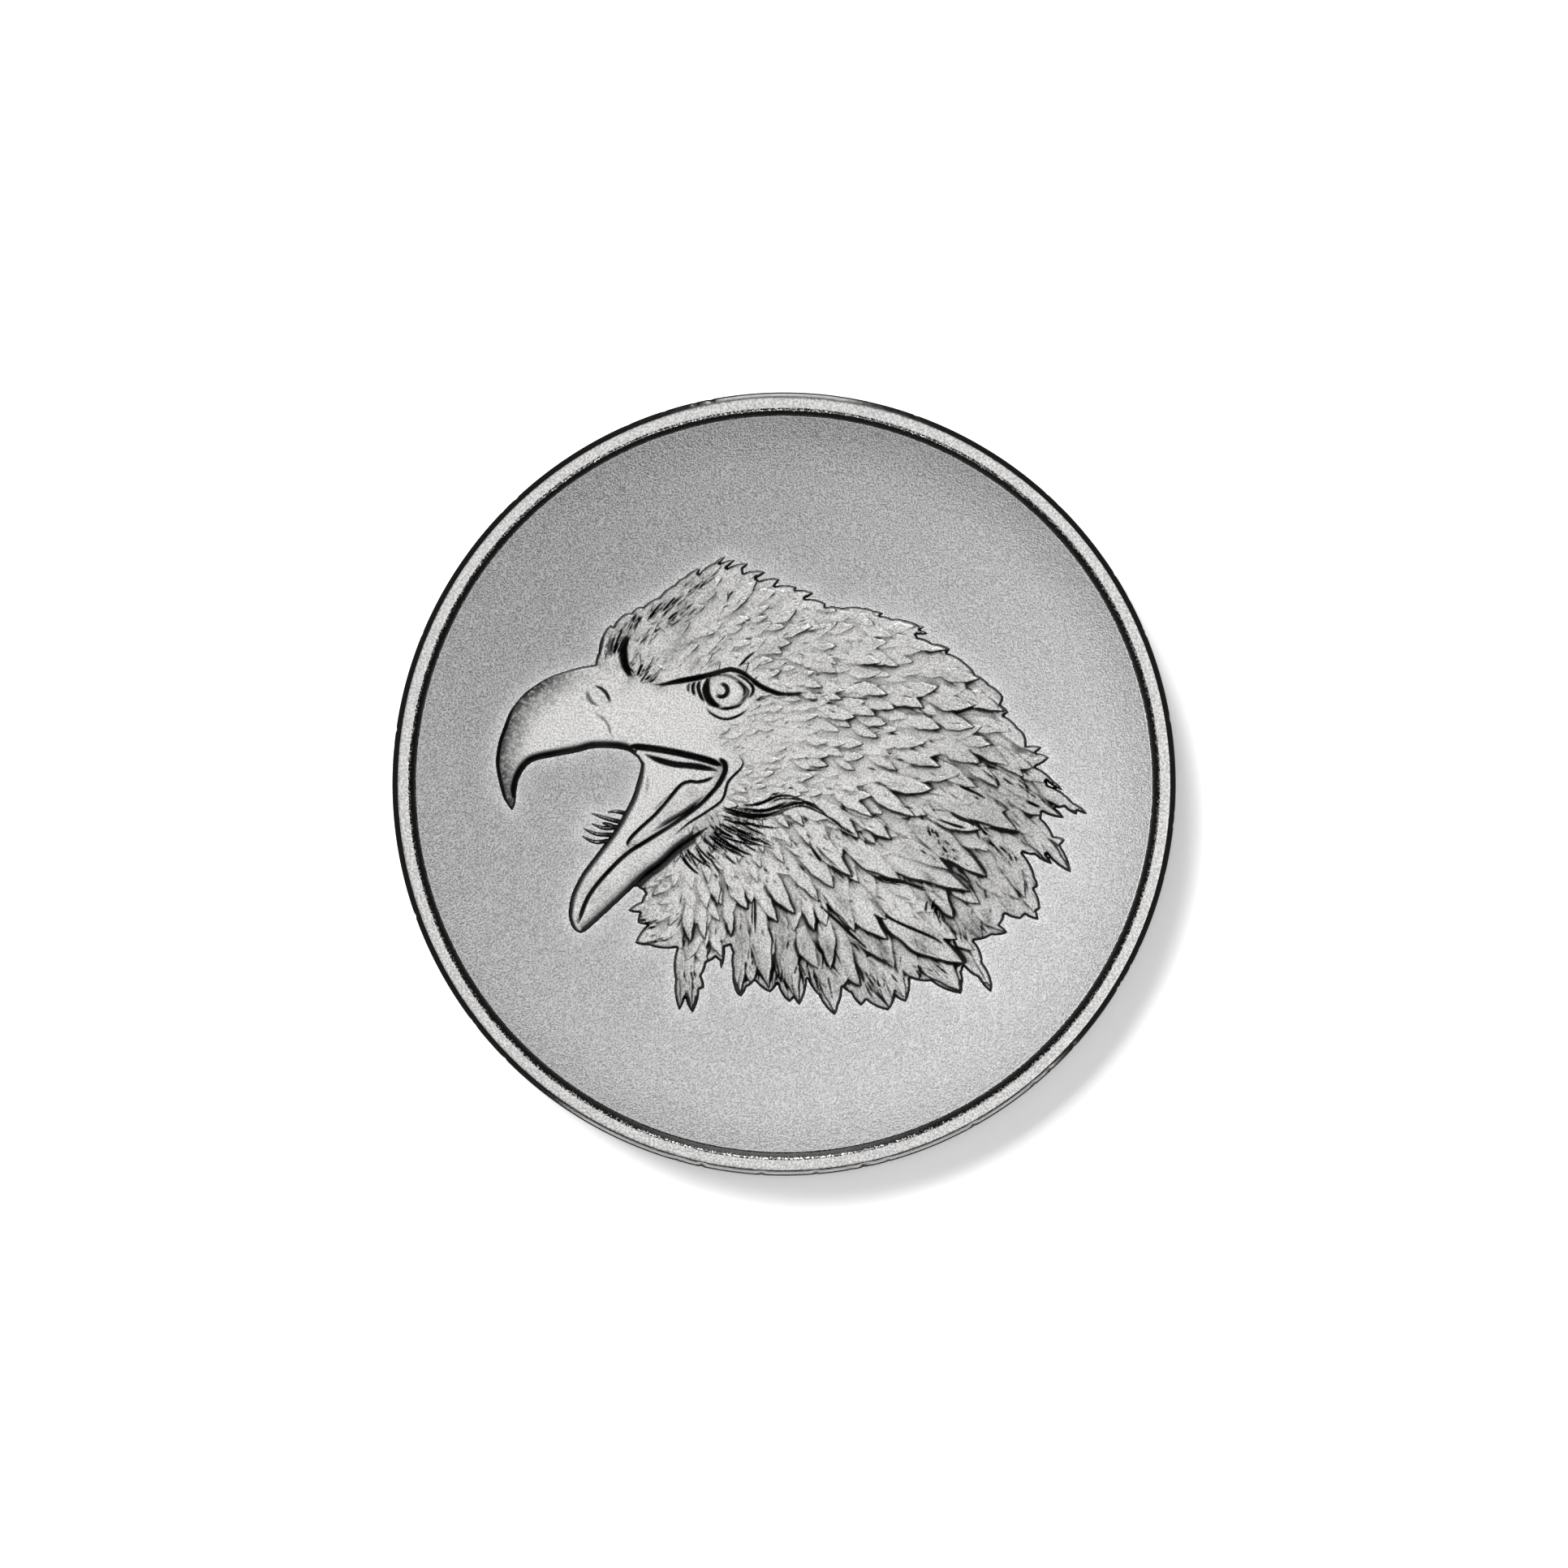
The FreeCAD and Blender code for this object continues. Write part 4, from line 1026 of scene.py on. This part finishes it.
def rim_metal():
    """Satin flats and a duller side, with near-black painted shade on the bevels and walls. The line
    between flat and wall is ragged, and the one between flat and bevel is sharp."""
    s = Shader("rim_silver")
    grain = s.noise(0.11, 1)
    facing = s.node("ShaderNodeNewGeometry").outputs["True Normal"]
    up = s.math("ABSOLUTE", s.node("ShaderNodeSeparateXYZ", Vector=facing).outputs["Z"])
    uneven = s.math("MULTIPLY", s.remap(s.noise(0.1, 2), 0.35, 0.65, -0.3, 0.3), s.attribute("inner"))
    uneven = s.math("MULTIPLY", uneven, s.remap(up, 0.96, 0.999, 1, 0))
    flat = s.remap(s.math("ADD", up, uneven), 0.84, 0.96)
    satin = s.mix(s.remap(grain, 0.36, 0.64), grey(0.37, 0.012), grey(0.7, 0.012))
    side = s.remap(up, 0.15, 0.3, 1, 0)
    # Painted shade: bevels and walls get a near-black colour
    color = s.mix(flat, s.mix(side, grey(0.028), s.mix(0.25, satin, grey(0.05))), satin)
    scratches = s.noise(0.5, 4, 0.7)
    polished = s.remap(scratches, 0.3, 0.7, 0.1, 0.22)
    blasted = s.remap(grain, 0.25, 0.75, 0.34, 0.48)
    roughness = s.math("ADD", s.math("MULTIPLY", flat, blasted),
                       s.math("MULTIPLY", s.math("SUBTRACT", 1.0, flat), polished))
    roughness = s.math("ADD", roughness, s.math("MULTIPLY", side, 0.32))
    normal = s.bump(grain, 0.016, s.remap(flat, 0, 1, 0.15, 1.0))
    return s.metal(color, roughness, normal)


def reverse_metal():
    """Frosted back, with painted shade along the steep edges of the design, and tarnished in patches."""
    s = Shader("reverse_frost")
    grain, tarnish = s.noise(0.12, 3, 0.65), s.noise(4.0, 3)
    base = s.mix(s.remap(grain, 0.3, 0.7), grey(0.34), grey(0.62))
    color = s.mix(s.remap(tarnish, 0.35, 0.75, 0, 0.35), base, grey(0.3, 0.03))
    # Painted shade along the steep edges of the design
    color = s.mix(s.math("MULTIPLY", s.attribute("sunk"), 0.85), color, grey(0.03))
    return s.metal(color, s.remap(grain, 0.25, 0.75, 0.36, 0.5), s.bump(grain, 0.022))


def rivet_metal():
    """Plain brass with fine marks and a slightly uneven colour."""
    s = Shader("rivet_brass")
    marks, tone = s.noise(0.08, 3), s.noise(0.9, 2)
    color = s.mix(s.remap(tone, 0.3, 0.7), (0.62, 0.45, 0.2, 1), (0.78, 0.6, 0.3, 1))
    return s.metal(color, s.remap(marks, 0.3, 0.7, 0.25, 0.4), s.bump(marks, 0.01))


def dress(piece, material):
    """Gives a piece its material."""
    piece.data.materials.clear()
    piece.data.materials.append(material)


# ---- stage -----------------------------------------------------------------------------------------

FLOOR_SIZE = 3.0            # metres, as for the other lengths of the stage
FLOOR_GLOW = 0.25
WORLD_LEVELS = [            # height above the horizon (-1 to 1) and brightness
    (-1, 0.5), (-0.8, 0.65), (-0.4, 0.4), (0, 0.36), (0.3, 0.4), (0.55, 0.44), (0.76, 0.4), (0.9, 0.5),
    (0.95, 0.5), (1, 0.26)
]
LIGHT_DISTANCE = 0.8
LENS = 400                  # a long lens, so that the coin is seen almost without perspective
SENSOR = 36


def build_floor():
    """A pale, plain floor that the coin lies on. Only the camera sees it, and only from above."""
    bpy.ops.mesh.primitive_plane_add(size=FLOOR_SIZE, location=(0, 0, -0.02 * MM))
    floor = bpy.context.object
    floor.name = "floor"
    s = Shader("floor_white")
    for label, value in (("Base Color", s.mix(s.noise(40.0), grey(0.9), grey(0.93))), ("Roughness", 0.9),
                         ("Specular IOR Level", 0.0), ("Emission Color", grey(1.0)),
                         ("Emission Strength", FLOOR_GLOW)):
        s.feed(s.bsdf.inputs[label], value)
    seen = s.node("ShaderNodeLightPath").outputs["Is Camera Ray"]
    front = s.math("SUBTRACT", 1.0, s.node("ShaderNodeNewGeometry").outputs["Backfacing"])
    either = s.node("ShaderNodeMixShader", Fac=s.math("MULTIPLY", seen, front))
    s.feed(either.inputs[1], s.node("ShaderNodeBsdfTransparent").outputs[0])
    s.feed(either.inputs[2], s.bsdf.outputs[0])
    s.feed(s.tree.nodes["Material Output"].inputs["Surface"], either.outputs[0])
    floor.data.materials.append(s.material)
    return floor


def area_light(name, receivers, tilt, azimuth, width, height, power, distance=LIGHT_DISTANCE):
    """A softbox that faces the coin and lights some objects only, placed by its angle from the vertical
    and its compass angle."""
    light = bpy.data.lights.new(name, "AREA")
    light.shape = "RECTANGLE"
    light.size, light.size_y = width, height
    light.energy = power
    lamp = bpy.data.objects.new(name, light)
    tilt, azimuth = math.radians(tilt), math.radians(azimuth)
    across = distance * math.sin(tilt)
    lamp.location = (across * math.cos(azimuth), across * math.sin(azimuth), distance * math.cos(tilt))
    lamp.rotation_euler = (-lamp.location).to_track_quat("-Z", "Y").to_euler()
    bpy.context.scene.collection.objects.link(lamp)
    group = bpy.data.collections.new(name + "_receivers")
    for receiver in receivers:
        group.objects.link(receiver)
    lamp.light_linking.receiver_collection = group


def build_lights(metal, rim, floor):
    """A high key and fill for the face, low lights that catch the rim and the relief's edges, one for the
    underside, and a window that casts the coin's shadow on the floor."""
    area_light("key", metal, 9, 145, 0.15, 0.15, 0.42)
    area_light("fill", metal, 21, -15, 0.22, 0.22, 0.7)
    area_light("back", metal, 75, 88, 0.5, 0.12, 3.0)
    area_light("back glint", [rim], 90, 90, 0.3, 0.15, 2.8)
    area_light("low glint", [rim], 90, -85, 1.3, 0.15, 10.0)
    area_light("under", metal, 150, 60, 0.3, 0.3, 1.5)
    area_light("window", [floor], 42, 130, 0.42, 0.42, 10.0, distance=0.7)


def build_world():
    """A nearly even surround whose brightness depends only on the height above the horizon."""
    world = bpy.data.worlds.new("studio")
    bpy.context.scene.world = world
    world.use_nodes = True
    tree = world.node_tree
    where, split, rise, ramp = [tree.nodes.new("ShaderNode" + kind) for kind in
                                ("TexCoord", "SeparateXYZ", "MapRange", "ValToRGB")]
    rise.inputs["From Min"].default_value = -1
    tree.links.new(where.outputs["Generated"], split.inputs[0])
    tree.links.new(split.outputs["Z"], rise.inputs["Value"])
    tree.links.new(rise.outputs[0], ramp.inputs[0])
    tree.links.new(ramp.outputs[0], tree.nodes["Background"].inputs["Color"])
    stops = ramp.color_ramp.elements
    stops[0].color, stops[1].color = grey(WORLD_LEVELS[0][1]), grey(WORLD_LEVELS[-1][1])
    for height, level in WORLD_LEVELS[1:-1]:
        stops.new((height + 1) / 2).color = grey(level)


def build_camera():
    """Straight above the coin, with the coin filling half of the frame's width."""
    camera = bpy.data.cameras.new("camera")
    camera.sensor_width, camera.lens = SENSOR, LENS
    camera.clip_start, camera.clip_end = 0.01, 10
    frame_width = 4 * COIN_RADIUS * MM
    eye = bpy.data.objects.new("camera", camera)
    eye.location = (0, 0, COIN_THICKNESS * MM + frame_width * LENS / SENSOR)
    bpy.context.scene.collection.objects.link(eye)
    bpy.context.scene.camera = eye


def main():
    inside, height, sunk = sculpt_head()
    coin = {
        "eagle_head": (build_relief(inside, height, sunk), "relief", relief_metal()),
        "core_disc": (build_field(inside), "field", field_metal()),
        "rim_ring": (build_rim(), "rim", rim_metal()),
        "reverse_disc": (build_reverse(), "reverse", reverse_metal()),
    }
    for node, (piece, slot_name, material) in coin.items():
        dress(piece, material)
        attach(piece, "root")
        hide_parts(node)
    dress(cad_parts["head_rivets"], rivet_metal())
    metal = [piece for piece, _, _ in coin.values()]
    build_lights(metal, coin["rim_ring"][0], build_floor())
    build_world()
    build_camera()
    bpy.context.scene.view_settings.view_transform = "Standard"


main()
